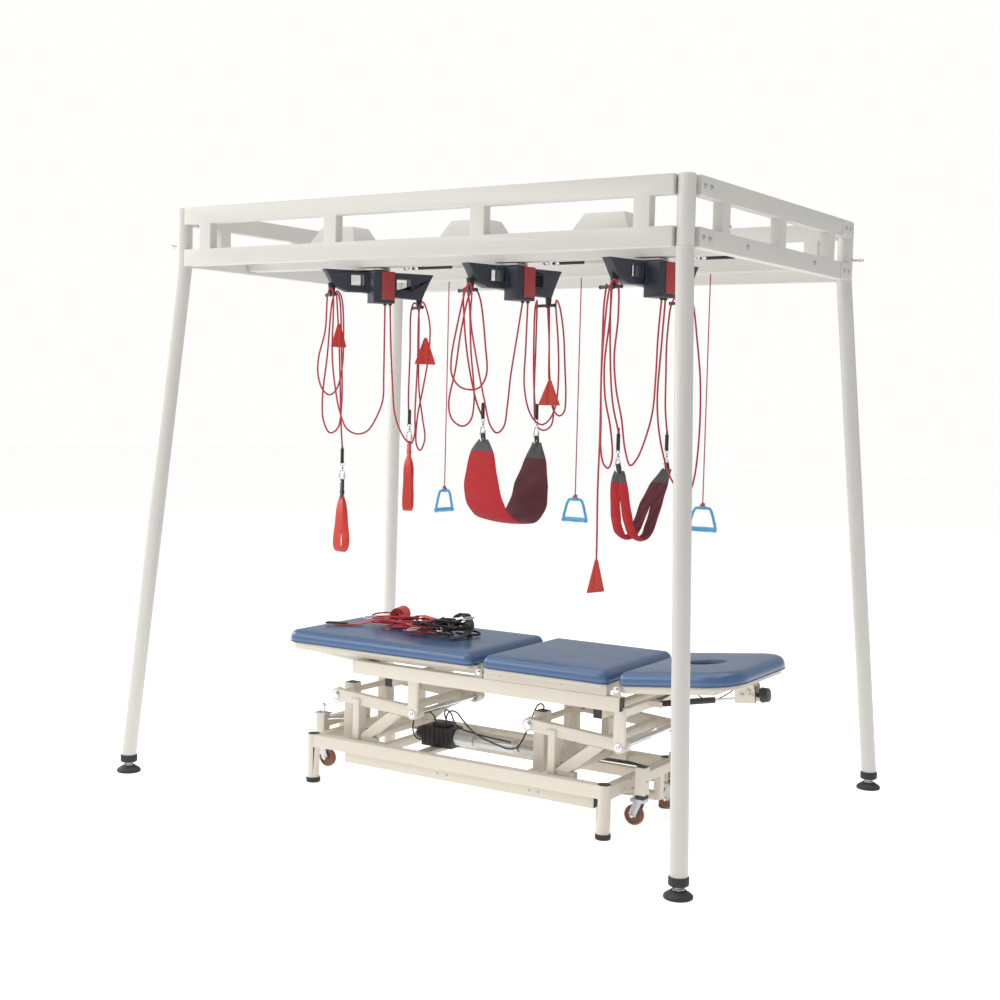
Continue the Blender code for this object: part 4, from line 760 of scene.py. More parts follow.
# %% Triangular grips
def strap_grip(name, u, v, top, low, wide, place, body, turn=0.0):
    """A flat triangle with round corners, a raised edge and a folded middle."""
    bm = bmesh.new()
    corner = [(-wide / 2, low), (wide / 2, low), (0.006, top), (-0.006, top)]
    outline = []
    for k, (a, b) in enumerate(corner):
        before, after = Vector(corner[k - 1]), Vector(corner[(k + 1) % 4])
        here = Vector((a, b))
        ease = 0.006 if k < 2 else 0.002
        p, q = here + (before - here).normalized() * ease, here + (after - here).normalized() * ease
        for t in (0.0, 0.5, 1.0):
            outline.append(p.lerp(here, t).lerp(here.lerp(q, t), t))
    spin = Matrix.Rotation(turn, 3, "Z")
    middle = Vector((0.0, (low * 2 + top) / 3))
    rings = []
    for shrink, depth in ((0.82, -0.0010), (0.90, -0.0022), (0.985, -0.0024), (1.0, -0.0012),
                          (1.0, 0.0012), (0.985, 0.0024), (0.90, 0.0022), (0.82, 0.0010)):
        ring = []
        for p in outline:
            flat = middle + (p - middle) * shrink
            ring.append(Vector((u, v, 0.0)) + spin @ Vector((flat.x, depth, 0.0))
                        + Vector((0.0, 0.0, flat.y)))
        rings.append(ring)
    skin(bm, rings)
    for side in (-1, 1):
        fold = []
        for z in (low + 0.001, top - 0.012):
            fold.append([Vector((u, v, z)) + spin @ Vector((a, side * b, 0.0))
                         for a, b in ((-0.010, 0.0004), (0.010, 0.0004), (0.010, 0.0032),
                                      (-0.010, 0.0032))])
        skin(bm, fold)
    return piece(name, bm, STRAP_ORANGE, body, place, edge=0.0004)


GRIPS = {
    "grip_1_left": (0, -0.160, 0.012, 1.852, 1.757, 0.078, 0.3),
    "grip_1_right": (0, 0.212, -0.001, 1.810, 1.700, 0.095, 0.0),
    "grip_2_right": (1, 0.176, -0.031, 1.644, 1.545, 0.115, 0.0),
    "grip_3_long": (2, -0.201, 0.036, 1.006, 0.888, 0.090, 0.0),
}
for grip_name, (spot, u, v, top, low, wide, turn) in GRIPS.items():
    strap_grip(grip_name, u, v, top, low, wide, UNITS[spot],
                                  "unit_%d" % (spot + 1), turn)

# %% [markdown]
# ## Pull handles
#
# A handle is a light blue plastic stirrup: a thick grip below, two flat arms
# that lean together and a hub above, where the cord is knotted.  One bent rod
# of one radius throughout gives the stirrup its even, moulded look.

# %% Handles
def pull_handle(k, x, low, turn):
    place = Matrix.Translation((x, TRACK_Y, 0.0)) @ Matrix.Rotation(math.radians(turn), 4, "Z")
    body = "pull_%d" % k
    top = low + HANDLE_TALL
    bm = bmesh.new()
    grip = low + 0.014
    stirrup = smooth_route(((-0.052, 0, grip), (-0.054, 0, grip + 0.012), (-0.048, 0, grip + 0.034),
                            (-0.041, 0, grip + 0.060), (-0.036, 0, top - 0.022),
                            (-0.028, 0, top - 0.011), (-0.010, 0, top - 0.010),
                            (0.010, 0, top - 0.010), (0.028, 0, top - 0.011),
                            (0.036, 0, top - 0.022), (0.041, 0, grip + 0.060),
                            (0.048, 0, grip + 0.034), (0.054, 0, grip + 0.012),
                            (0.052, 0, grip)), 5)
    bent_rod(bm, stirrup, 0.0058, sides=14)
    turned(bm, ((0.0, -0.060), (0.0080, -0.060), (0.0110, -0.057), (0.0114, -0.050),
                (0.0096, -0.046), (0.0100, -0.030), (0.0104, 0.0), (0.0100, 0.030),
                (0.0096, 0.046), (0.0114, 0.050), (0.0110, 0.057), (0.0080, 0.060), (0.0, 0.060)),
           (0, 0, grip), (1, 0, 0), sides=28)
    strut(bm, (-0.013, 0, top - 0.008), (0.013, 0, top - 0.008), 0.015, 0.015)
    handle = piece("handle_%d_made" % k, bm, HANDLE_BLUE, body, place, 0.0012)
    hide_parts("handle_%d" % k)
    bm = bmesh.new()
    turned(bm, ((0.0, -0.004), (0.0060, -0.003), (0.0078, 0.002), (0.0070, 0.007),
                (0.0076, 0.011), (0.0055, 0.016), (0.0030, 0.019), (0.0, 0.019)),
           (0, 0, top - 0.006), sides=18)
    bent_rod(bm, [(0.0075 * math.cos(t), 0.0075 * math.sin(t), top + 0.004 + 0.004 * math.sin(t))
                  for t in (2 * math.pi * i / 20 for i in range(20))], 0.0026, closed=True)
    piece("pull_knot_%d" % k, bm, CORD_PINK, body, place)
    return handle


for k, spot in enumerate(HANDLE_SPOTS, 1):
    pull_handle(k, *spot)
print("handles at", HANDLE_SPOTS)

# %% [markdown]
# ## Slings
#
# A sling is a padded band that hangs in a U from two hooks.  Its outer face is
# red, its inner face maroon, and a grey cap is stitched over each end.  The
# band is swept along the U: its section swells between the hems, and its width
# narrows towards the hooks.  The head sling has a slit along its middle, so it
# is made as two bands that part and meet again.

# %% Sweep a sling
def sling_band(bm, route, widths, thick, side=0, gap=0.0, per_span=6, patch=(2.0, 2.0)):
    """A padded band; side -1 or 1 makes only that half of a slit one."""
    path = smooth_route([(u, 0.0, z) for u, z in route], per_span)
    total = len(path) - 1
    columns = 9
    rings = []
    area = 0.0
    for k, place in enumerate(path):
        spot = k / per_span
        low = min(int(spot), len(widths) - 2)
        wide = widths[low] + (widths[low + 1] - widths[low]) * (spot - low)
        along = path[min(k + 1, total)] - path[max(k - 1, 0)]
        inward = Vector((-along.z, 0.0, along.x)).normalized()
        open_now = gap * max(math.sin(math.pi * min(max((k / total - 0.16) / 0.68, 0.0), 1.0)), 0.0)
        a, b = -wide / 2, wide / 2
        if side < 0:
            b = -open_now
        elif side > 0:
            a = open_now
        ring = []
        for face in (-1, 1):
            for i in range(columns):
                t = i / (columns - 1) if face < 0 else 1.0 - i / (columns - 1)
                swell = 0.45 + 0.55 * math.sin(math.pi * t) ** 0.5
                sag = 0.004 * math.sin(math.pi * t) * math.sin(math.pi * k / total)
                ripple = 0.0011 * math.sin(9.0 * t + 0.9 * k) * (1 if face > 0 else 0.6)
                ring.append(place + Vector((0.0, a + (b - a) * t, 0.0))
                            + inward * (face * thick / 2 * swell - sag + ripple))
        rings.append(ring)
        if k:
            area += (place - path[k - 1]).length * (b - a)
    made = len(bm.faces)
    skin(bm, rings)
    bm.faces.ensure_lookup_table()
    for index in range(made, len(bm.faces)):
        face = bm.faces[index]
        cell = index - made
        row, column = divmod(cell, 2 * columns)
        if cell >= total * 2 * columns:
            face.material_index = 2
            continue
        share = row / total
        inner = columns <= column < 2 * columns - 1
        capped = share < 0.09 or share > 0.91 or (inner and patch[0] < share < patch[1])
        face.material_index = 2 if capped else (1 if inner else 0)
    return area


SLING_FINISHES = (SLING_RED, SLING_MAROON, SLING_GREY)
BODY_SLING = (
    ((-0.125, 1.412), (-0.130, 1.368), (-0.132, 1.300), (-0.128, 1.225), (-0.105, 1.160),
     (-0.060, 1.115), (0.000, 1.097), (0.060, 1.107), (0.105, 1.160), (0.120, 1.235),
     (0.138, 1.325), (0.145, 1.400)),
    (0.050, 0.132, 0.175, 0.212, 0.225, 0.230, 0.230, 0.228, 0.220, 0.195, 0.130, 0.050))
HEAD_SLING = (
    ((-0.135, 1.322), (-0.135, 1.280), (-0.125, 1.205), (-0.112, 1.142), (-0.090, 1.097),
     (-0.055, 1.077), (-0.020, 1.090), (0.005, 1.130), (0.038, 1.200), (0.075, 1.265),
     (0.117, 1.325)),
    (0.045, 0.078, 0.095, 0.105, 0.110, 0.110, 0.110, 0.110, 0.105, 0.085, 0.045))

bm = bmesh.new()
area = sling_band(bm, *BODY_SLING, 0.007, patch=(0.50, 0.585))
sling_2 = piece("sling_2_cloth", bm, SLING_FINISHES, "unit_2", UNITS[1], angle=60)
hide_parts("sling_2")
print("body sling cut from", round(area, 3), "square metres")

bm = bmesh.new()
area = sling_band(bm, *HEAD_SLING, 0.007, -1, 0.010) + sling_band(bm, *HEAD_SLING, 0.007, 1, 0.010)
sling_3 = piece("sling_3_cloth", bm, SLING_FINISHES, "unit_3", UNITS[2], angle=60)
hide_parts("sling_3")
print("head sling cut from", round(area, 3), "square metres")

# %% [markdown]
# The inner face at the fold at the bottom of the body sling is dark grey, and
# both ends of each sling are held by a loop of webbing that passes through the hook.

# %% Sling end loops and the patch
def end_loop(name, u, v, z, tall, wide, place, body):
    bm = bmesh.new()
    rings = []
    for i in range(28):
        t = 2.0 * math.pi * i / 28
        across_u = 0.0065 * math.cos(t)
        height = z + tall / 2 * math.sin(t)
        flare = wide * (0.5 + 0.28 * (0.5 - 0.5 * math.sin(t)))
        out = Vector((math.cos(t), 0.0, 0.5 * math.sin(t))).normalized() * 0.0010
        mid = Vector((u + across_u, v, height))
        rings.append([mid - out + Vector((0, -flare / 2, 0)), mid + out + Vector((0, -flare / 2, 0)),
                      mid + out + Vector((0, flare / 2, 0)), mid - out + Vector((0, flare / 2, 0))])
    skin(bm, rings, closed=True)
    return piece(name, bm, SLING_GREY, body, place)


END_LOOPS = {
    "sling_2_loop_left": (1, -0.1255, 0.003, 1.414, 0.044),
    "sling_2_loop_right": (1, 0.1455, 0.003, 1.404, 0.044),
    "sling_3_loop_left": (2, -0.1370, 0.003, 1.326, 0.040),
    "sling_3_loop_right": (2, 0.1190, 0.003, 1.328, 0.040),
}
for loop_name, (spot, u, v, z, tall) in END_LOOPS.items():
    end_loop(loop_name, u, v, z, tall, 0.026, UNITS[spot], "unit_%d" % (spot + 1))

# %% [markdown]
# ## Hanging webbing loops
#
# Two loops of orange-red webbing hang on the first unit for a hand or a foot.
# Each is a closed band that belly out below under its own weight, sewn to a
# short tab above.

# %% Webbing loops
def webbing_loop(name, u, v, top, bottom, swell, wide, hook_low, spot, tab_finish, turn):
    tall = top - bottom
    belly = ((u, top), (u - 0.010, top - 0.20 * tall), (u - 0.020, top - 0.50 * tall),
             (u - swell, top - 0.80 * tall), (u - 0.8 * swell, bottom + 0.06 * tall), (u, bottom),
             (u + 0.8 * swell, bottom + 0.06 * tall), (u + swell, top - 0.80 * tall),
             (u + 0.020, top - 0.50 * tall), (u + 0.010, top - 0.20 * tall), (u, top))
    path = smooth_route([(a, v, b) for a, b in belly], 6)[:-1]
    count = len(path)
    rings = []
    for k, here in enumerate(path):
        along = path[(k + 1) % count] - path[k - 1]
        out = Vector((-along.z, 0.0, along.x)).normalized() * 0.0017
        twist = turn * math.sin(0.5 * math.pi * min(2.0 * (top - here.z) / tall, 1.0))
        spin = Matrix.Rotation(twist, 3, "Z")
        half = Vector((0.0, wide / 2, 0.0))
        mid = Vector((u, v, 0.0)) + spin @ (Vector((here.x - u, 0.0, 0.0))) + Vector((0, 0, here.z))
        ring = [spin @ q for q in (-out - half, -out * 1.4, -out + half, out + half, out * 1.4,
                                   out - half)]
        rings.append([mid + q for q in ring])
    body = "unit_%d" % (spot + 1)
    bm = bmesh.new()
    skin(bm, rings, closed=True)
    loop = piece(name + "_loop", bm, STRAP_ORANGE, body, UNITS[spot])
    bm = bmesh.new()
    block(bm, (u - 0.0045, u + 0.0045), (v - 0.013, v + 0.013), (top - 0.022, hook_low + 0.012))
    block(bm, (u - 0.0060, u + 0.0060), (v - 0.0135, v + 0.0135), (top - 0.014, top - 0.002))
    block(bm, (u - 0.0060, u + 0.0060), (v - 0.0135, v + 0.0135), (top + 0.008, top + 0.020))
    tab = piece(name + "_tab", bm, tab_finish, body, UNITS[spot], 0.0010)
    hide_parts(name)
    return loop, tab


webbing_loop("strap_1a", -0.136, 0.008, 1.160, 0.931, 0.032, 0.036, 1.213, 0, STRAP_BLACK, 0.65)
webbing_loop("strap_1b", 0.152, 0.008, 1.322, 1.095, 0.030, 0.034, 1.372, 0, STRAP_ORANGE, 0.95)

# %% [markdown]
# ## Cushions
#
# A couch cushion is foam on a board under stretched vinyl.  It is flat where a
# person lies, with a slight crown, a soft round edge and sides that pull in a
# little.  It is built from outlines that step inwards: each ring knows how far
# it is from the edge, so one formula gives its height.  A firm board cushion
# hardly moves, so no cloth simulation is used for it.

# %% Cushion builder
CUSHION_T, CUSHION_Z = 0.285, (0.560, 0.615)


def pad_outline(x, y, radii, inset, arc=9, run=22):
    """Outline of a rectangle with four corner radii, stepped inwards."""
    x, y = (x[0] + inset, x[1] - inset), (y[0] + inset, y[1] - inset)
    corners = ((x[1], y[1], radii[0], 0.0), (x[0], y[1], radii[1], 90.0),
               (x[0], y[0], radii[2], 180.0), (x[1], y[0], radii[3], 270.0))
    out = []
    for cx, cy, r, start in corners:
        r = max(r - inset, 0.0025)
        ox, oy = cx - math.copysign(r, cx - sum(x) / 2), cy - math.copysign(r, cy - sum(y) / 2)
        for k in range(arc + 1):
            angle = math.radians(start + 90.0 * k / arc)
            out.append(Vector((ox + r * math.cos(angle), oy + r * math.sin(angle))))
    dense = []
    for k, here in enumerate(out):
        after = out[(k + 1) % len(out)]
        steps = run if (k + 1) % (arc + 1) == 0 else 1
        for i in range(steps):
            dense.append(here.lerp(after, i / steps))
    return dense


def oval(centre, half, like):
    """Points of an ellipse in the same directions as another outline's points."""
    out = []
    for p in like:
        t = math.atan2((p.y - centre[1]) / half[1], (p.x - centre[0]) / half[0])
        out.append(Vector((centre[0] + half[0] * math.cos(t), centre[1] + half[1] * math.sin(t))))
    return out


def cushion(name, node, x, radii, place, body, hole=None):
    y = (-CUSHION_T, CUSHION_T)
    low, high = CUSHION_Z
    crown = 0.0035
    rings, finishes = [], []

    def ring(points, height, tint=0, rough=0.0):
        rings.append([(p.x, p.y, height + rough * noise.noise(Vector((p.x * 7, p.y * 7, 3.0))))
                      for p in points])
        finishes.append(tint)

    ring(pad_outline(x, y, radii, 0.016), low, 2)
    for inset, height in ((0.0045, low + 0.0008), (0.0010, low + 0.0055), (0.0, low + 0.013),
                          (0.0006, low + 0.022), (0.0028, high - 0.0240), (0.0070, high - 0.0165),
                          (0.0130, high - 0.0105), (0.0210, high - 0.0062), (0.0320, high - 0.0040)):
        ring(pad_outline(x, y, radii, inset), height)
    if hole is None:
        for inset in (0.045, 0.060, 0.080, 0.105, 0.140, 0.185, 0.235, 0.270):
            rise = crown * (1.0 - math.exp(-(inset - 0.032) / 0.055))
            ring(pad_outline(x, y, radii, inset), high - 0.0040 + rise, rough=0.0010)
        caps = True
    else:
        centre, half = hole
        base = pad_outline(x, y, radii, 0.042)
        lip = oval(centre, (half[0] + 0.016, half[1] + 0.016), base)
        for share in (0.0, 0.12, 0.28, 0.46, 0.66, 0.84, 1.0):
            points = [a.lerp(b, share) for a, b in zip(base, lip)]
            ring(points, high - 0.0036 + 0.0026 * math.sin(math.pi * share) ** 0.5, rough=0.0006)
        # Finish 1 down the walls of the face hole is the darker vinyl copy: painted shade inside the
        # hole.
        for grow, height, tint in ((0.008, high - 0.0042, 0), (0.003, high - 0.0080, 1),
                                   (0.0, high - 0.0150, 1), (-0.002, (low + high) / 2, 1),
                                   (0.0, low + 0.010, 1), (0.004, low + 0.002, 1), (0.014, low, 2)):
            ring(oval(centre, (half[0] + grow, half[1] + grow), base), height, tint)
        caps = False
    bm = bmesh.new()
    skin(bm, rings, caps=caps, closed=not caps)
    bm.faces.ensure_lookup_table()
    per_ring = len(rings[0])
    for index, face in enumerate(bm.faces):
        row = min(index // per_ring, len(finishes) - 1)
        if index < per_ring * (len(rings) - (0 if not caps else 1)):
            face.material_index = finishes[min(row + 1, len(finishes) - 1)] if row else 2
        if abs(face.normal.z + 1.0) < 1e-3 and face.calc_center_median().z < low + 1e-4:
            face.material_index = 2
    made = piece(name, bm, (VINYL_BLUE, VINYL_PAINTED_SHADE, STRAP_BLACK), body, place,
                 angle=70)
    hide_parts(node)
    bm = bmesh.new()
    # The welt gets the darker vinyl copy: painted shade where the cushion's side meets its board.
    welt = [(p.x, p.y, low + 0.0046) for p in pad_outline(x, y, radii, 0.0006)]
    bent_rod(bm, welt, 0.0017, sides=8, closed=True)
    piece(name + "_welt", bm, VINYL_PAINTED_SHADE, body, place)
    return made


cushion("cushion_leg_vinyl", "cushion_leg", (-0.714, 0.176), (0.030, 0.045, 0.045, 0.030), COUCH,
        "leg_section")
cushion("cushion_mid_vinyl", "cushion_mid", (0.223, 0.749), (0.030,) * 4, COUCH, "couch_top")
cushion("cushion_head_vinyl", "cushion_head", (0.797, 1.243), (0.120, 0.030, 0.030, 0.120), HEAD,
        "head_section", ((1.018, 0.0), (0.068, 0.055)))
print("three cushions made")


# %% Boards
def board(name, x, radii, place, body):
    """The painted board that a cushion is stapled to."""
    top = CUSHION_Z[0] - 0.0004
    bm = bmesh.new()
    rings = []
    for inset, height in ((0.0155, top - 0.0125), (0.0140, top - 0.0110), (0.0140, top - 0.0015),
                          (0.0155, top)):
        rings.append([(p.x, p.y, height)
                      for p in pad_outline(x, (-CUSHION_T, CUSHION_T), radii, inset)])
    skin(bm, rings)
    piece(name, bm, COUCH_PAINT, body, place)


board("leg_board", (-0.714, 0.176), (0.030, 0.045, 0.045, 0.030), COUCH, "leg_section")
board("mid_board", (0.223, 0.749), (0.030,) * 4, COUCH, "couch_top")
board("head_board", (0.797, 1.243), (0.120, 0.030, 0.030, 0.120), HEAD, "head_section")

# %% [markdown]
# ## Legs and feet
#
# Each leg is one round tube that runs straight down through the truss and
# splays out below the collar.  It is drawn with twice the facets of the CAD
# tube, with a real seam where the two lengths meet and a pressed cap on top.

# %% Legs
POST, FOOT, SEAM_Z, FRAME_TOP, LEG_LOW = (1.13, 0.70), (1.261, 0.857), 2.068, 2.300, 0.070
CORNERS = {"front_left": (-1, -1), "front_right": (1, -1), "rear_left": (-1, 1), "rear_right": (1, 1)}


def leg(corner, sx, sy):
    foot = Vector((sx * FOOT[0], sy * FOOT[1], LEG_LOW))
    knee = Vector((sx * POST[0], sy * POST[1], SEAM_Z))
    bm = bmesh.new()
    rings = []
    for share, r in ((0.0, 0.0285), (0.0012, 0.0300), (0.9975, 0.0300), (0.9982, 0.0292),
                     (0.9992, 0.0292)):
        centre = foot.lerp(knee, share)
        rings.append([centre + Vector((math.cos(t), math.sin(t), 0.0)) * r
                      for t in (2 * math.pi * i / 48 for i in range(48))])
    for z, r in ((SEAM_Z, 0.0300), (FRAME_TOP - 0.004, 0.0300), (FRAME_TOP - 0.001, 0.0290),
                 (FRAME_TOP, 0.0270)):
        rings.append([Vector((knee.x + r * math.cos(t), knee.y + r * math.sin(t), z))
                      for t in (2 * math.pi * i / 48 for i in range(48))])
    skin(bm, rings)
    tube = piece("leg_%s_tube" % corner, bm, FRAME_PAINT, "frame", angle=50)
    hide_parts("leg_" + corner)
    bm = bmesh.new()
    turned(bm, ((0.0, 0.0), (0.0262, 0.0), (0.0262, 0.0010), (0.0235, 0.0022), (0.0, 0.0030)),
           (knee.x, knee.y, FRAME_TOP), sides=40)
    piece("leg_%s_cap" % corner, bm, FRAME_PAINT, "frame")


def foot(corner, sx, sy):
    bm = bmesh.new()
    place = (sx * FOOT[0], sy * FOOT[1], 0.0)
    turned(bm, ((0.0, 0.0), (0.0455, 0.0), (0.0480, 0.0022), (0.0480, 0.0080), (0.0462, 0.0112),
                (0.0400, 0.0165), (0.0310, 0.0215), (0.0240, 0.0275), (0.0, 0.0275)), place,
           sides=44)
    turned(bm, ((0.0, 0.0), (0.0220, 0.0), (0.0220, 0.0035), (0.0, 0.0035)),
           (place[0], place[1], 0.0275), finish=1, sides=6)
    turned(bm, ((0.0, 0.0), (0.0120, 0.0), (0.0120, 0.012), (0.0, 0.012)),
           (place[0], place[1], 0.030), finish=1, sides=24)
    turned(bm, ((0.0, 0.0), (0.0300, 0.0), (0.0336, 0.0030), (0.0340, 0.0080), (0.0340, 0.0250),
                (0.0325, 0.0290), (0.0, 0.0290)), (place[0], place[1], 0.0410), sides=44)
    made = piece("foot_%s_made" % corner, bm, (RUBBER, DULL_STEEL), "frame")
    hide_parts("foot_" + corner)


for corner, (sx, sy) in CORNERS.items():
    leg(corner, sx, sy)
    foot(corner, sx, sy)
print("legs", sorted(CORNERS))

# %% [markdown]
# ## Carried-over steelwork
#
# The trusses, tracks, arms and frames have the right shape already.  Each gets
# rounded edges, because a perfectly sharp edge never catches the light, and
# finishes that are chosen by where a face lies, such as a rubber shoe under a
# painted post.

# %% Trusses, tracks and trolleys
for side in ("front", "rear", "left", "right"):
    dressed("truss_" + side, FRAME_PAINT, "frame", 0.0022)
for side in ("front", "rear"):
    dressed("track_" + side, FRAME_PAINT, "frame", 0.0010)
for k in (1, 2, 3):
    dressed("trolley_%d" % k, FRAME_PAINT, "trolley_%d" % k, 0.0016)

# %% Couch steelwork
COUCH_BACK = COUCH.inverted()
HEAD_BACK = HEAD.inverted()


def base_finish(spot, normal):
    s = COUCH_BACK @ spot
    if s.z < 0.0225:
        return 1
    for pivot in (-0.5, 0.4):
        if abs(s.y) > 0.142 and math.hypot(s.x - pivot, s.z - 0.362) < 0.0121:
            return 2
    return 0


def actuator_finish(spot, normal):
    return 1 if (COUCH_BACK @ spot).x > -0.0585 else 0


def head_finish(spot, normal):
    s = HEAD_BACK @ spot
    if s.x > 1.2065 and s.z < 0.555:
        return 1
    return 0


dressed("couch_base", (COUCH_PAINT, RUBBER, BRIGHT_STEEL), "frame", 0.0016,
        base_finish)
for side in ("left", "right"):
    dressed("arm_" + side, COUCH_PAINT, "arm_" + side, 0.0014)
dressed("upper_frame", COUCH_PAINT, "couch_top", 0.0014)
dressed("leg_frame", COUCH_PAINT, "leg_section", 0.0014)
dressed("head_frame", (COUCH_PAINT, BLACK_PLASTIC), "head_section", 0.0010,
        head_finish)
dressed("gas_cylinder", BLACK_PLASTIC, "gas_cylinder", 0.0006)
dressed("gas_rod", BRIGHT_STEEL, "gas_rod", 0.0006)
dressed("actuator_body", (BLACK_PLASTIC, TRACK_METAL), "frame", 0.0020,
        actuator_finish)
dressed("actuator_rod", DULL_STEEL, "actuator_rod", 0.0006)
dressed("caster_frame", COUCH_PAINT, "caster_frame", 0.0014)

# %% Suspension units
for k in (1, 2, 3):
    dressed("unit_%d" % k, UNIT_PLASTIC, "unit_%d" % k, 0.0032)

# %% [markdown]
# Every unit has a brick-red cover on its nose, a lip round each hand hole,
# screws, two rope guides under the nose and a black hook below each arm for
# the spare loops of rope.

# %% Unit fittings
NOSE_FRONT = -0.084
HOOK_SPOTS = {1: (-0.196, 0.180), 2: (-0.205, 0.186), 3: (-0.190, 0.182)}


def screw(bm, place, axis, radius=0.0045, finish=0):
    """A pan head with a hexagon socket."""
    turned(bm, ((0.0, 0.0), (radius, 0.0), (radius, radius * 0.35), (radius * 0.75, radius * 0.62),
                (radius * 0.42, radius * 0.66), (radius * 0.42, radius * 0.25),
                (0.0, radius * 0.25)), place, axis, finish, 18)


def rope_hook(bm, u, reach, finish=0):
    """A plate that drops from the arm and a round bar across its end."""
    skin(bm, [[(u - 0.017, v, 2.012), (u + 0.015, v, 2.012), (u + 0.009, v, reach - 0.002),
               (u - 0.008, v, reach - 0.010)] for v in (-0.006, 0.006)], finish)
    round_bar(bm, (u, -0.036, reach), (u, 0.066, reach), 0.0062, finish, 16)
    for v in (-0.036, 0.066):
        turned(bm, ((0.0, -0.002), (0.0070, -0.002), (0.0078, 0.0), (0.0070, 0.002), (0.0, 0.002)),
               (u, v, reach), (0, 1, 0), finish, 20)


for k, place in enumerate(UNITS, 1):
    body = "unit_%d" % k
    bm = bmesh.new()
    block(bm, (-0.016, 0.039), (NOSE_FRONT - 0.0035, NOSE_FRONT + 0.001), (1.950, 2.063))
    piece("unit_%d_red_cover" % k, bm, UNIT_RED, body, place, 0.0018)
    bm = bmesh.new()
    for z in (1.990, 2.024):
        block(bm, (-0.013, 0.036), (NOSE_FRONT - 0.0043, NOSE_FRONT - 0.002), (z, z + 0.0022))
    piece("unit_%d_cover_ribs" % k, bm, UNIT_RED, body, place, 0.0004)
    bm = bmesh.new()
    for u, z in ((-0.042, 1.948), (-0.042, 2.056), (0.0, 1.948), (-0.034, 1.948)):
        screw(bm, (u, NOSE_FRONT, z), (0, -1, 0), 0.0036)
    for u in (-0.175, -0.098, 0.102, 0.178):
        screw(bm, (u, -0.022, 2.056), (0, -1, 0), 0.0040)
        screw(bm, (u, 0.022, 2.056), (0, 1, 0), 0.0040)
    piece("unit_%d_screws" % k, bm, BOLT_BLACK, body, place)
    bm = bmesh.new()
    for u0, u1, z0, z1 in ((-0.126, -0.066, 2.004, 2.052), (0.070, 0.135, 1.996, 2.044)):
        for side in (-1, 1):
            v = side * 0.0225
            rim = [(a, v, b) for a, b in ((u0, z0), (u1, z0), (u1, z1), (u0, z1))]
            corners = []
            for i, p in enumerate(rim):
                before, after = Vector(rim[i - 1]), Vector(rim[(i + 1) % 4])
                here = Vector(p)
                start = here + (before - here).normalized() * 0.008
                end = here + (after - here).normalized() * 0.008
                corners += [start.lerp(here, t).lerp(here.lerp(end, t), t)
                            for t in (0.0, 0.25, 0.5, 0.75, 1.0)]
            bent_rod(bm, corners, 0.0020, sides=8, closed=True)
    piece("unit_%d_hole_lips" % k, bm, UNIT_PLASTIC, body, place)
    bm = bmesh.new()
    for rope_name in ("rope_left_%d" % k, "rope_right_%d" % k):
        u, v, z = ROPE_ROUTES[rope_name][1][0]
        turned(bm, ((0.0038, -0.006), (0.0065, -0.006), (0.0072, -0.002), (0.0072, 0.003),
                    (0.0038, 0.003), (0.0038, -0.006)), (u, v, z), sides=20)
    piece("unit_%d_rope_guides" % k, bm, BLACK_PLASTIC, body, place)
    bm = bmesh.new()
    left, right = HOOK_SPOTS[k]
    rope_hook(bm, left, 1.966)
    rope_hook(bm, right, 1.932)
    piece("unit_%d_hooks" % k, bm, BLACK_PLASTIC, body, place, 0.0008)
print("unit fittings made")

# %% [markdown]
# A slim aluminium rail runs under the front track.  Black tubes and bright
# clamps on it carry the cables from unit to unit.

# %% Rail, tubes and clamps
def track_rail():
    bm = bmesh.new()
    block(bm, (-1.10, 1.10), (-0.2750, -0.2550), (2.0845, 2.0900))
    block(bm, (-1.10, 1.10), (-0.2770, -0.2720), (2.0810, 2.0910))
    piece("front_rail", bm, TRACK_METAL, "frame", edge=0.0006)
    bm = bmesh.new()
    for a, b in ((-0.30, -0.06), (0.36, 0.55), (0.97, 1.10)):
        round_bar(bm, (a, -0.2640, 2.0760), (b, -0.2640, 2.0760), 0.0058, sides=20)
    piece("rail_tubes", bm, BLACK_PLASTIC, "frame")
    bm = bmesh.new()
    for x in (-0.33, -0.28, 0.33, 0.38, 0.945, 0.985):
        turned(bm, ((0.0, -0.010), (0.0078, -0.010), (0.0086, -0.008), (0.0086, 0.008),
                    (0.0078, 0.010), (0.0, 0.010)), (x, -0.2640, 2.0790), (1, 0, 0), sides=24)
        round_bar(bm, (x, -0.2640, 2.0700), (x, -0.2640, 2.0870), 0.0036, sides=14)
        screw(bm, (x, -0.2726, 2.0790), (0, -1, 0), 0.0042)
    piece("rail_clamps", bm, BRIGHT_STEEL, "frame")


track_rail()

# %% [markdown]
# ## Bolts of the frame
#
# The short trusses are bolted to corner plates at both ends, the tracks are
# bolted through them, and two lock pins stick out at opposite corners.

# %% Corner plates, bolts and pins
def hex_bolt(bm, place, axis, size=0.0075, finish=0):
    """A washer, a hexagon head and its chamfer."""
    turned(bm, ((0.0, 0.0), (size * 1.35, 0.0), (size * 1.35, size * 0.18), (0.0, size * 0.18)),
           place, axis, finish, 24)
    turned(bm, ((0.0, size * 0.15), (size, size * 0.15), (size, size * 0.72), (size * 0.80, size * 0.85),
                (0.0, size * 0.85)), place, axis, finish, 6)


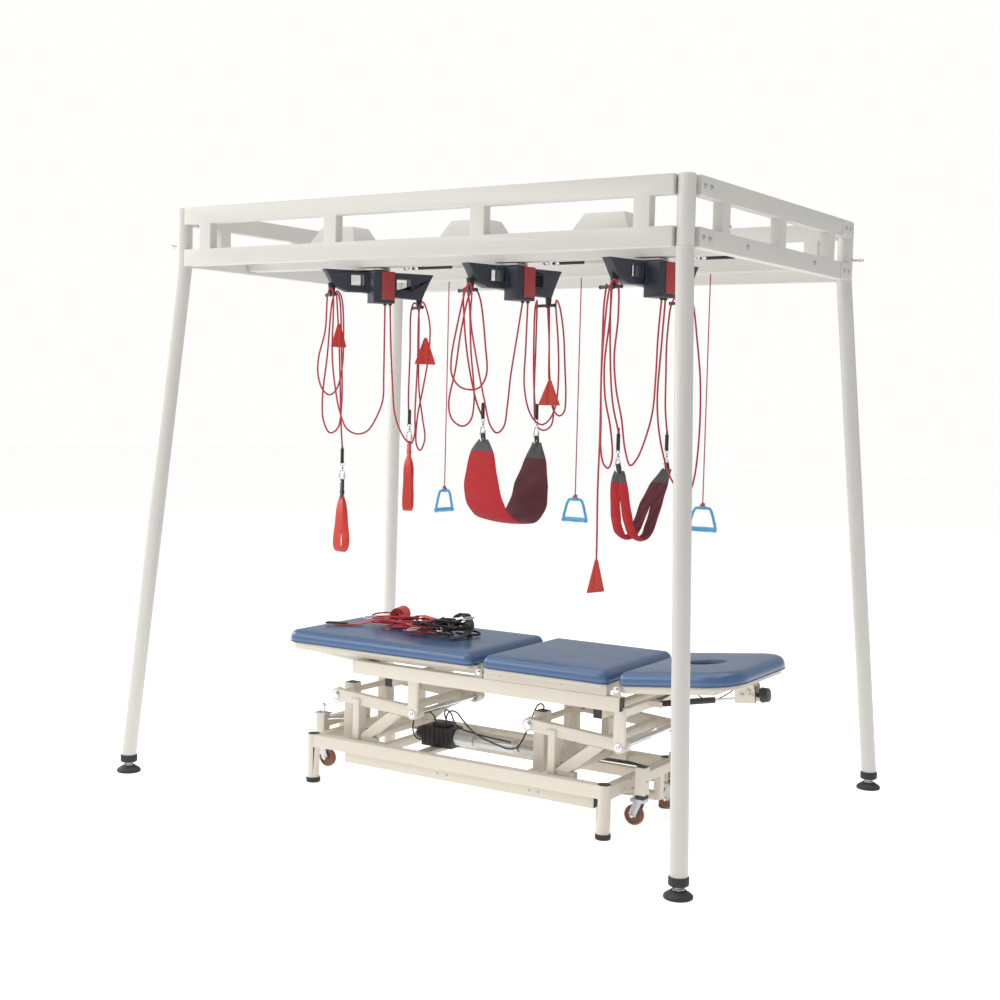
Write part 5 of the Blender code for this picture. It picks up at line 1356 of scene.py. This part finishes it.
def frame_bolts():
    plates, bolts = bmesh.new(), bmesh.new()
    rail_rows = (SEAM_Z + 0.033, FRAME_TOP - 0.033)
    for sx in (-1, 1):
        x = sx * 1.165
        for sy in (-1, 1):
            for z in rail_rows:
                low, high = sorted((sy * 0.672, sy * 0.570))
                block(plates, sorted((x, x + sx * 0.0025)), (low, high), (z - 0.031, z + 0.031))
                for y in (0.645, 0.600):
                    hex_bolt(bolts, (x + sx * 0.0025, sy * y, z), (sx, 0, 0), 0.0065)
            hex_bolt(bolts, (x, sy * 0.300, SEAM_Z + 0.037), (sx, 0, 0), 0.0065)
    piece("corner_plates", plates, FRAME_PAINT, "frame", edge=0.0007)
    piece("frame_bolts", bolts, DULL_STEEL, "frame")
    bm = bmesh.new()
    for x, y, axis in ((-1.13, -0.70, (-1, 0, 0)), (1.13, 0.70, (1, 0, 0))):
        start = Vector((x, y, 2.150)) + Vector(axis) * 0.028
        turned(bm, ((0.0, 0.0), (0.0095, 0.0), (0.0095, 0.004), (0.0048, 0.006), (0.0048, 0.030),
                    (0.0078, 0.032), (0.0085, 0.036), (0.0085, 0.044), (0.0070, 0.047), (0.0, 0.047)),
               start, axis, sides=20)
    piece("lock_pins", bm, BRIGHT_STEEL, "frame")
    bm = bmesh.new()
    for x, y, z in ((1.118, -0.372, 2.146), (-1.05, 0.31, 2.146)):
        block(bm, (x - 0.010, x + 0.010), (y - 0.007, y + 0.007), (z - 0.020, z + 0.016))
        round_bar(bm, (x, y, z), (x, y, z + 0.034), 0.005)
        round_bar(bm, (x - 0.004, y, z + 0.022), (x + 0.016, y, z + 0.022), 0.004)
    piece("track_stops", bm, BLACK_PLASTIC, "frame", edge=0.0008)


frame_bolts()

# %% Collars, trolley slots and post seams
def collars():
    bm = bmesh.new()
    for sx, sy in CORNERS.values():
        turned(bm, ((0.0, -0.0040), (0.0303, -0.0040), (0.0310, -0.0028), (0.0310, 0.0028),
                    (0.0303, 0.0040), (0.0, 0.0040)), (sx * POST[0], sy * POST[1], SEAM_Z - 0.003),
               sides=48)
    piece("leg_collars", bm, FRAME_PAINT, "frame")
    for k, (cx, cy, _) in enumerate(UNIT_SPOTS, 1):
        bm = bmesh.new()
        mid = cx - 0.19
        for i in range(5):
            x = mid - 0.060 + 0.030 * i
            block(bm, (x - 0.009, x + 0.009), (-0.3412, -0.3385), (2.152, 2.156))
        piece("trolley_%d_vents" % k, bm, BLACK_PLASTIC, "trolley_%d" % k)
        bm = bmesh.new()
        for x in (cx - 0.042, cx + 0.042):
            hex_bolt(bm, (x, -0.323, 2.0762), (0, 0, -1), 0.0058)
        piece("trolley_%d_bolts" % k, bm, DULL_STEEL, "trolley_%d" % k)


collars()
print("frame fittings made")

# %% [markdown]
# ## Fittings of the couch
#
# Open tube ends are closed with black plugs, the pivots show bright bosses
# with nuts, and the parts that swing on the sections are held by hinge bolts.

# %% Tube plugs
def square_plug(bm, place, half, axis, finish=0):
    """A pressed-in plug: a thin flange and a sunk middle."""
    side, top = across(axis)
    ahead = Vector(axis).normalized()
    rings = []
    for grow, rise in ((1.0, 0.0), (1.0, 0.0016), (0.88, 0.0026), (0.62, 0.0026), (0.56, 0.0010)):
        rings.append([Vector(place) + ahead * rise + side * (i * half[0] * grow)
                      + top * (j * half[1] * grow) for i, j in ((-1, -1), (1, -1), (1, 1), (-1, 1))])
    skin(bm, rings, finish)


BASE_SPOTS, BASE_T = (-0.582, 0.7455), 0.261
ARM_SPOTS, ARM_PIVOT_Z, ARM_PIN = (-0.50, 0.40), 0.362, (0.390, -0.027)
CASTER_SPOTS, CASTER_T = (-0.632, 0.836), 0.140


def couch_plugs():
    fixed, lifted, dropping = bmesh.new(), bmesh.new(), bmesh.new()
    for s in BASE_SPOTS:
        for side in (-1, 1):
            turned(fixed, ((0.0, 0.0), (0.0236, 0.0), (0.0236, 0.0012), (0.0205, 0.0018),
                           (0.0190, -0.0008), (0.0, -0.0008)), (s, side * BASE_T, 0.1976), sides=36)
    for s in ARM_SPOTS:
        for side in (-1, 1):
            square_plug(fixed, (s, side * 0.115, 0.396), (0.021, 0.0215), (0, 0, 1))
    for s in (-0.210, 0.713):
        for side in (-1, 1):
            square_plug(lifted, (s, side * 0.266, 0.452), (0.0172, 0.0172), (0, side, 0))
    for s in (-0.385, 0.800):
        for side in (-1, 1):
            square_plug(lifted, (s, side * 0.250, 0.493), (0.0185, 0.0245),
                        (-1 if s < 0 else 1, 0, 0))
    for s in CASTER_SPOTS:
        for side in (-1, 1):
            square_plug(dropping, (s, side * CASTER_T, 0.252), (0.0185, 0.0185), (0, 0, 1))
    for side in (-1, 1):
        for s in (-0.425, 0.700):
            square_plug(dropping, (s, side * 0.240, 0.121), (0.013, 0.0185), (-1 if s < 0 else 1, 0, 0))
    piece("base_plugs", fixed, BLACK_PLASTIC, "frame", COUCH)
    piece("top_frame_plugs", lifted, BLACK_PLASTIC, "couch_top", COUCH)
    piece("caster_frame_plugs", dropping, BLACK_PLASTIC, "caster_frame", COUCH)


couch_plugs()

# %% Pivot bosses, nuts and hinge bolts
def pivot_fittings():
    base, top = bmesh.new(), bmesh.new()
    for s in ARM_SPOTS:
        for side in (-1, 1):
            turned(base, ((0.0, 0.0), (0.0165, 0.0), (0.0175, 0.0015), (0.0165, 0.0032),
                          (0.0, 0.0032)), (s, side * 0.2255, ARM_PIVOT_Z), (0, side, 0), sides=32)
            turned(base, ((0.0, 0.0), (0.0120, 0.0), (0.0120, 0.0062), (0.0100, 0.0076),
                          (0.0, 0.0076)), (s, side * 0.2285, ARM_PIVOT_Z), (0, side, 0), sides=6)
            turned(top, ((0.0, 0.0), (0.0150, 0.0), (0.0156, 0.0014), (0.0146, 0.0030),
                         (0.0, 0.0030)), (s + ARM_PIN[0], side * 0.2475, ARM_PIVOT_Z + ARM_PIN[1]),
                   (0, side, 0), sides=32)
            screw(top, (s + ARM_PIN[0], side * 0.2500, ARM_PIVOT_Z + ARM_PIN[1]), (0, side, 0), 0.0088)
    for s, z in ((0.200, 0.540), (0.783, 0.545)):
        for side in (-1, 1):
            hex_bolt(top, (s, side * 0.2608, z), (0, side, 0), 0.0082)
    for s, z in ((0.300, 0.536), (0.560, 0.536)):
        for side in (-1, 1):
            screw(top, (s, side * 0.2680, z), (0, side, 0), 0.0040)
    piece("arm_pivot_nuts", base, BRIGHT_STEEL, "frame", COUCH)
    piece("hinge_bolts", top, BRIGHT_STEEL, "couch_top", COUCH)
    for side, pivot in zip(("left", "right"), ARM_SPOTS):
        bm = bmesh.new()
        es, ez = pivot + ARM_PIN[0], ARM_PIVOT_Z + ARM_PIN[1]
        round_bar(bm, (es, -0.194, ez), (es, 0.194, ez), 0.0112, sides=28)
        for t in (-0.192, 0.192):
            turned(bm, ((0.0112, -0.003), (0.0150, -0.003), (0.0150, 0.003), (0.0112, 0.003),
                        (0.0112, -0.003)), (es, t, ez), (0, 1, 0), sides=28)
        for t in (-0.2255, 0.2255):
            screw(bm, (pivot + 0.080, t, ARM_PIVOT_Z - 0.006), (0, 1 if t > 0 else -1, 0), 0.0042)
        piece("arm_%s_shaft" % side, bm, BRIGHT_STEEL, "arm_" + side, COUCH)
    bm = bmesh.new()
    for s in (0.020, 0.062, 0.430, 0.470):
        for side in (-1, 1):
            screw(bm, (s, side * 0.254, 0.124), (0, side, 0), 0.0048)
    for s, axis in ((0.792, (0, -1, 0)), (0.856, (1, 0, 0))):
        screw(bm, (s, -CASTER_T, 0.2000), axis, 0.0044)
    piece("caster_frame_screws", bm, DULL_STEEL, "caster_frame", COUCH)


pivot_fittings()

# %% [markdown]
# ## Lift motor and its cables
#
# The motor is a ribbed black box with a silver outer tube.  Its thin black
# cables lie in loose bends: the long one ends on the cap of the right upright.

# %% Motor details
def motor_details():
    bm = bmesh.new()
    for i in range(6):
        s = -0.192 + 0.022 * i
        block(bm, (s, s + 0.006), (-0.0445, 0.0445), (0.170, 0.2460))
    block(bm, (-0.160, -0.095), (-0.030, 0.030), (0.2440, 0.2620))
    turned(bm, ((0.0, 0.0), (0.0240, 0.0), (0.0260, 0.004), (0.0260, 0.024), (0.0230, 0.030),
                (0.0, 0.030)), (-0.215, 0.0, 0.2055), (-1, 0, 0), sides=32)
    piece("motor_ribs", bm, BLACK_PLASTIC, "frame", COUCH, 0.0010)
    bm = bmesh.new()
    turned(bm, ((0.0212, 0.0), (0.0235, 0.0), (0.0240, 0.003), (0.0240, 0.172), (0.0230, 0.178),
                (0.0212, 0.178), (0.0212, 0.0)), (0.040, 0.0, 0.2055), (1, 0, 0), sides=36)
    for s in (0.052, 0.205):
        turned(bm, ((0.0240, 0.0), (0.0252, 0.001), (0.0252, 0.009), (0.0240, 0.010), (0.0240, 0.0)),
               (s, 0.0, 0.2055), (1, 0, 0), sides=36)
    piece("actuator_sleeve", bm, TRACK_METAL, "frame", COUCH)


motor_details()

# %% Cables
CABLE_R = 0.0030
CABLES = {
    "motor_cable_long": ("frame", (
        (-0.100, -0.020, 0.262), (-0.096, -0.026, 0.290), (-0.070, -0.040, 0.318),
        (-0.030, -0.055, 0.322), (0.010, -0.066, 0.296), (0.060, -0.074, 0.262),
        (0.120, -0.080, 0.240), (0.180, -0.080, 0.226), (0.225, -0.074, 0.216),
        (0.262, -0.066, 0.226), (0.285, -0.062, 0.262), (0.310, -0.062, 0.320),
        (0.332, -0.064, 0.372), (0.350, -0.070, 0.4020), (0.372, -0.082, 0.4130),
        (0.394, -0.098, 0.4080), (0.400, -0.112, 0.3985))),
    "motor_cable_short": ("frame", (
        (-0.150, -0.020, 0.262), (-0.156, -0.026, 0.286), (-0.176, -0.040, 0.304),
        (-0.206, -0.052, 0.300), (-0.226, -0.060, 0.276), (-0.232, -0.064, 0.240),
        (-0.228, -0.062, 0.208), (-0.214, -0.050, 0.188), (-0.206, -0.030, 0.186))),
    "motor_cable_thin": ("frame", (
        (-0.118, 0.010, 0.262), (-0.122, 0.000, 0.292), (-0.104, -0.018, 0.316),
        (-0.072, -0.030, 0.308), (-0.050, -0.040, 0.280), (-0.020, -0.050, 0.262),
        (0.040, -0.052, 0.250), (0.100, -0.046, 0.242), (0.160, -0.036, 0.236),
        (0.206, -0.022, 0.2290))),
}
for cable_name, (body, route) in CABLES.items():
    made, path, length = lay_rope(cable_name, route, COUCH, body, CABLE_BLACK, CABLE_R, 6)
    print(cable_name, "is", round(length, 2), "m long")

# %% [markdown]
# A thin release cable sags under the head section, from the knob bracket
# towards the hinge.  Both its ends are held by the head section's own bracket
# and rail, so it tilts with them.

# %% Release cable
made, path, length = lay_rope("head_release_cable", (
    (1.128, 0.026, 0.520), (1.110, 0.030, 0.512), (1.080, 0.040, 0.494), (1.040, 0.056, 0.474),
    (1.000, 0.072, 0.462), (0.960, 0.090, 0.462), (0.925, 0.106, 0.474), (0.895, 0.118, 0.494),
    (0.872, 0.124, 0.516), (0.862, 0.126, 0.532)), HEAD, "head_section", CABLE_BLACK, 0.0022, 6,
    8)
print("release cable is", round(length, 2), "m long")

# %% Bracket bolts and rail screws
def head_fittings():
    bm = bmesh.new()
    for t in (-0.0262, 0.0262):
        for s, z in ((1.158, 0.500), (1.184, 0.515)):
            hex_bolt(bm, (s, t, z), (0, 1 if t > 0 else -1, 0), 0.0060)
    piece("head_bracket_bolts", bm, DULL_STEEL, "head_section", HEAD)
    for s in (0.812, 1.120):
        bm = bmesh.new()
        for t in (-0.247, 0.247):
            screw(bm, (s, t, 0.545), (0, 1 if t > 0 else -1, 0), 0.0045)
        piece("head_rail_screws_%d" % round(s * 1000), bm, DULL_STEEL, "head_section",
              HEAD)


head_fittings()

# %% [markdown]
# ## Casters
#
# Each caster is a pressed steel fork under a swivel head, with a brown wheel
# between its cheeks and a grey cover over the top.

# %% Caster wheels and forks
WHEEL_R, WHEEL_W, WHEEL_Z, TRAIL = 0.0375, 0.024, 0.0725, 0.028
number = 0
for s in CASTER_SPOTS:
    trail = TRAIL if s < 0 else -TRAIL
    for side in (-1, 1):
        number += 1
        t, ws = side * CASTER_T, s + trail
        dressed("caster_fork_%d" % number, DULL_STEEL, "caster_fork_%d" % number,
                0.0006)
        bm = bmesh.new()
        half = WHEEL_W / 2
        turned(bm, ((0.0053, -half), (0.0130, -half), (0.0140, -half + 0.0030), (0.0270, -half + 0.0030),
                    (0.0285, -half), (0.0325, -half), (0.0362, -half + 0.0030), (WHEEL_R, -half * 0.45),
                    (WHEEL_R, half * 0.45), (0.0362, half - 0.0030), (0.0325, half), (0.0285, half),
                    (0.0270, half - 0.0030), (0.0140, half - 0.0030), (0.0130, half), (0.0053, half),
                    (0.0053, -half)), (ws, t, WHEEL_Z), (0, 1, 0), sides=44)
        wheel = piece("caster_wheel_%d_made" % number, bm, WHEEL_BROWN, "caster_wheel_%d" % number,
                      COUCH)
        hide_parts("caster_wheel_%d" % number)
        bm = bmesh.new()
        turned(bm, ((0.0, 0.0), (0.0235, 0.0), (0.0245, -0.002), (0.0245, -0.009), (0.0215, -0.013),
                    (0.0, -0.013)), (s, t, 0.1495), sides=32)
        for edge in (-1, 1):
            turned(bm, ((0.0, 0.0), (0.0072, 0.0), (0.0072, 0.0030), (0.0050, 0.0042), (0.0, 0.0042)),
                   (ws, t + edge * 0.0212, WHEEL_Z), (0, edge, 0), 1, 6)
        piece("caster_%d_cover" % number, bm, (BOLT_BLACK, BRIGHT_STEEL), "caster_fork_%d" % number,
              COUCH)
print("casters", number)

# %% [markdown]
# ## Left-end linkage
#
# At the foot end a small pedal block sits on the caster head, and two bright
# rods run from it to the arm post.  A ratchet strut with a rusted bracket lies
# under the leg section.

# %% Linkage and strut
def linkage():
    bm = bmesh.new()
    t = -0.140
    block(bm, (-0.662, -0.602), (t - 0.022, t + 0.022), (0.2525, 0.2570), 1)
    round_bar(bm, (-0.628, t, 0.255), (-0.628, t, 0.286), 0.0055)
    turned(bm, ((0.0, 0.0), (0.0080, 0.0), (0.0090, 0.004), (0.0070, 0.010), (0.0, 0.010)),
           (-0.628, t, 0.284))
    round_bar(bm, (-0.628, t, 0.290), (-0.526, t + 0.020, 0.318), 0.0042)
    round_bar(bm, (-0.606, t, 0.232), (-0.526, t + 0.020, 0.240), 0.0042)
    piece("pedal_link", bm, (BRIGHT_STEEL, DULL_STEEL), "caster_frame", COUCH)
    bm = bmesh.new()
    for side in (-1, 1):
        block(bm, (-0.352, -0.318), (side * 0.196 - 0.016, side * 0.196 + 0.016), (0.494, 0.520))
        hex_bolt(bm, (-0.335, side * 0.213, 0.507), (0, side, 0), 0.0060)
    piece("strut_brackets", bm, RUST_STEEL, "leg_section", COUCH, 0.0010)
    bm = bmesh.new()
    for side in (-1, 1):
        t = side * 0.2465
        for s in (-0.25, -0.235, 0.045, 0.060):
            screw(bm, (s, t, 0.545), (0, side, 0), 0.0042)
    piece("leg_rail_screws", bm, BOLT_BLACK, "leg_section", COUCH)


linkage()

# %% [markdown]
# ## The heap of accessories
#
# Spare straps, ropes and hooks lie in a heap on the leg cushion: a roll of red
# strap, a flat strap with a black end, a tangle of red rope, and black ropes,
# buckles and snap hooks.  The tangles are slow looping curves that rise a
# rope's thickness with each turn, so that they lie on each other like rope.

# %% Heap helpers
PILE_FLOOR = 0.6160
HEAP_MIDDLE = (-0.345, 0.010)


def spread(s, w, z):
    """A heap point, moved out from the middle of the heap and up."""
    return (HEAP_MIDDLE[0] + 0.012 + (s - HEAP_MIDDLE[0]) * 1.24,
            HEAP_MIDDLE[1] + (w - HEAP_MIDDLE[1]) * 1.25,
            PILE_FLOOR + (z - PILE_FLOOR) * 1.45)


def heap_rope(name, centre, half, turns, wobble, radius, finish, climb, phase, lean=0.0):
    """A tangle of loops: its turns wander round a middle and climb as they pile up."""
    route = []
    count = int(turns * 14)
    for i in range(count + 1):
        share = i / count
        t = 2.0 * math.pi * turns * share + phase
        drift = 1.0 + wobble * math.sin(2.3 * t + phase) + 0.5 * wobble * math.cos(3.7 * t)
        s = centre[0] + half[0] * drift * math.cos(t) + half[0] * 0.45 * math.sin(0.37 * t + phase)
        w = centre[1] + half[1] * drift * math.sin(t + lean) + half[1] * 0.4 * math.cos(0.41 * t)
        z = PILE_FLOOR + radius + climb * share + 0.35 * climb * (0.5 + 0.5 * math.sin(1.7 * t))
        low = spread(s, w, z - radius)
        route.append((low[0], low[1], low[2] + radius))
    made, path, length = lay_rope(name, route, COUCH, "leg_section", finish, radius, 3,
                                  8)
    print(name, "is", round(length, 2), "m long")


heap_rope("heap_red_rope_1", (-0.400, 0.045), (0.075, 0.048), 5.0, 0.22, 0.0035,
          ROPE_RED, 0.022, 0.4)
heap_rope("heap_red_rope_2", (-0.300, 0.010), (0.085, 0.042), 5.0, 0.25, 0.0035,
          ROPE_RED, 0.024, 2.1, 0.5)
heap_rope("heap_red_rope_3", (-0.235, -0.030), (0.060, 0.045), 4.0, 0.22, 0.0035,
          ROPE_RED, 0.026, 4.0)
heap_rope("heap_black_rope_1", (-0.190, -0.020), (0.070, 0.050), 4.0, 0.22, 0.0040,
          ROPE_BLACK, 0.030, 1.0)
heap_rope("heap_black_rope_2", (-0.165, 0.020), (0.055, 0.055), 3.0, 0.20, 0.0045,
          ROPE_BLACK, 0.034, 5.2, 0.4)


# %% Straps, roll, buckles and hooks of the heap
def flat_strap(name, route, wide, thick, finish):
    """A strap laid along points, its width turned level."""
    path = smooth_route([spread(*p) for p in route], 6)
    bm = bmesh.new()
    rings = []
    for k, here in enumerate(path):
        ahead = (path[min(k + 1, len(path) - 1)] - path[max(k - 1, 0)]).normalized()
        side = ahead.cross(Vector((0, 0, 1)))
        if side.length < 0.2:
            side = Vector((0.0, 1.0, 0.0))
        side.normalize()
        top = side.cross(ahead).normalized() * thick / 2
        half = side * wide / 2
        rings.append([here - half - top, here + half - top, here + half + top, here - half + top])
    skin(bm, rings)
    made = piece(name, bm, finish, "leg_section", COUCH, 0.0004)
    return made


def strap_roll():
    """A strap wound on itself, standing on its edge."""
    bm = bmesh.new()
    rings = []
    for i in range(150):
        t = 2.0 * math.pi * i / 26
        r = 0.010 + 0.0042 * t / (2.0 * math.pi)
        out = Vector((math.cos(t), 0.25 * math.cos(t), math.sin(t))).normalized()
        mid = Vector((-0.440, 0.125, PILE_FLOOR + 0.036)) + out * r
        along = Vector((-0.22, 0.97, 0.05)).normalized() * 0.034
        rings.append([mid - along - out * 0.0010, mid + along - out * 0.0010,
                      mid + along + out * 0.0010, mid - along + out * 0.0010])
    skin(bm, rings)
    made = piece("heap_strap_roll", bm, STRAP_ORANGE, "leg_section", COUCH)


strap_roll()
flat_strap("heap_flat_strap", ((-0.590, -0.060, 0.6185), (-0.550, -0.045, 0.6185),
                               (-0.510, -0.020, 0.6200), (-0.465, 0.020, 0.6320),
                               (-0.420, 0.050, 0.6400), (-0.370, 0.050, 0.6400)),
           0.040, 0.0030, STRAP_ORANGE)
flat_strap("heap_strap_end", ((-0.612, -0.068, 0.6200), (-0.585, -0.060, 0.6210),
                              (-0.545, -0.044, 0.6210)), 0.030, 0.0060, STRAP_BLACK)
flat_strap("heap_red_strap_2", ((-0.360, 0.080, 0.6400), (-0.320, 0.060, 0.6520),
                                (-0.270, 0.030, 0.6540), (-0.215, 0.020, 0.6500),
                                (-0.170, 0.040, 0.6400)), 0.034, 0.0030, STRAP_ORANGE)
flat_strap("heap_black_strap", ((-0.215, 0.115, 0.6500), (-0.180, 0.090, 0.6640),
                                (-0.130, 0.060, 0.6580), (-0.095, 0.020, 0.6400),
                                (-0.085, -0.040, 0.6240), (-0.100, -0.090, 0.6200)),
           0.030, 0.0040, STRAP_BLACK)


def heap_hardware():
    draw = random.Random(7)
    steel, black = bmesh.new(), bmesh.new()
    for s, w, z, turn in ((-0.505, 0.030, 0.634, 0.5), (-0.470, -0.010, 0.640, 1.7),
                          (-0.245, -0.085, 0.634, 0.9), (-0.150, -0.075, 0.640, 2.3),
                          (-0.110, 0.030, 0.664, 1.1)):
        spin = Matrix.Rotation(turn, 3, "Z")
        oval_path = []
        for i in range(26):
            t = 2.0 * math.pi * i / 26
            oval = (0.024 * math.cos(t), 0.0115 * math.sin(t), 0.003 * math.sin(t + turn))
            oval_path.append(Vector(spread(s, w, z)) + spin @ Vector(oval))
        bent_rod(steel, oval_path, 0.0028, closed=True)
    for s, w, z in ((-0.215, -0.060, 0.650), (-0.180, -0.030, 0.660), (-0.140, 0.000, 0.655),
                    (-0.205, 0.060, 0.650), (-0.120, -0.045, 0.646), (-0.160, 0.085, 0.664)):
        spin = Matrix.Translation(spread(s, w, z)) @ Matrix.Rotation(draw.uniform(0, 3.1), 4, "Z") \
            @ Matrix.Rotation(draw.uniform(-0.5, 0.5), 4, "X")
        here = bmesh.new()
        block(here, (-0.022, 0.022), (-0.013, 0.013), (-0.005, 0.005))
        round_bar(here, (-0.020, -0.016, 0), (-0.020, 0.016, 0), 0.0042)
        round_bar(here, (0.020, -0.016, 0), (0.020, 0.016, 0), 0.0042)
        here.transform(spin)
        part = bpy.data.meshes.new("buckle")
        here.to_mesh(part)
        here.free()
        black.from_mesh(part)
        bpy.data.meshes.remove(part)
    turned(black, ((0.0, 0.0), (0.0130, 0.0), (0.0140, 0.003), (0.0140, 0.010), (0.0070, 0.014),
                   (0.0070, 0.042), (0.0140, 0.046), (0.0140, 0.053), (0.0120, 0.056), (0.0, 0.056)),
           (-0.020, 0.010, PILE_FLOOR + 0.0005), sides=24)
    piece("heap_snap_rings", steel, BRIGHT_STEEL, "leg_section",
                            COUCH)
    piece("heap_buckles", black, BLACK_PLASTIC, "leg_section",
                            COUCH, 0.0010)


heap_hardware()
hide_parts("accessory_pile")
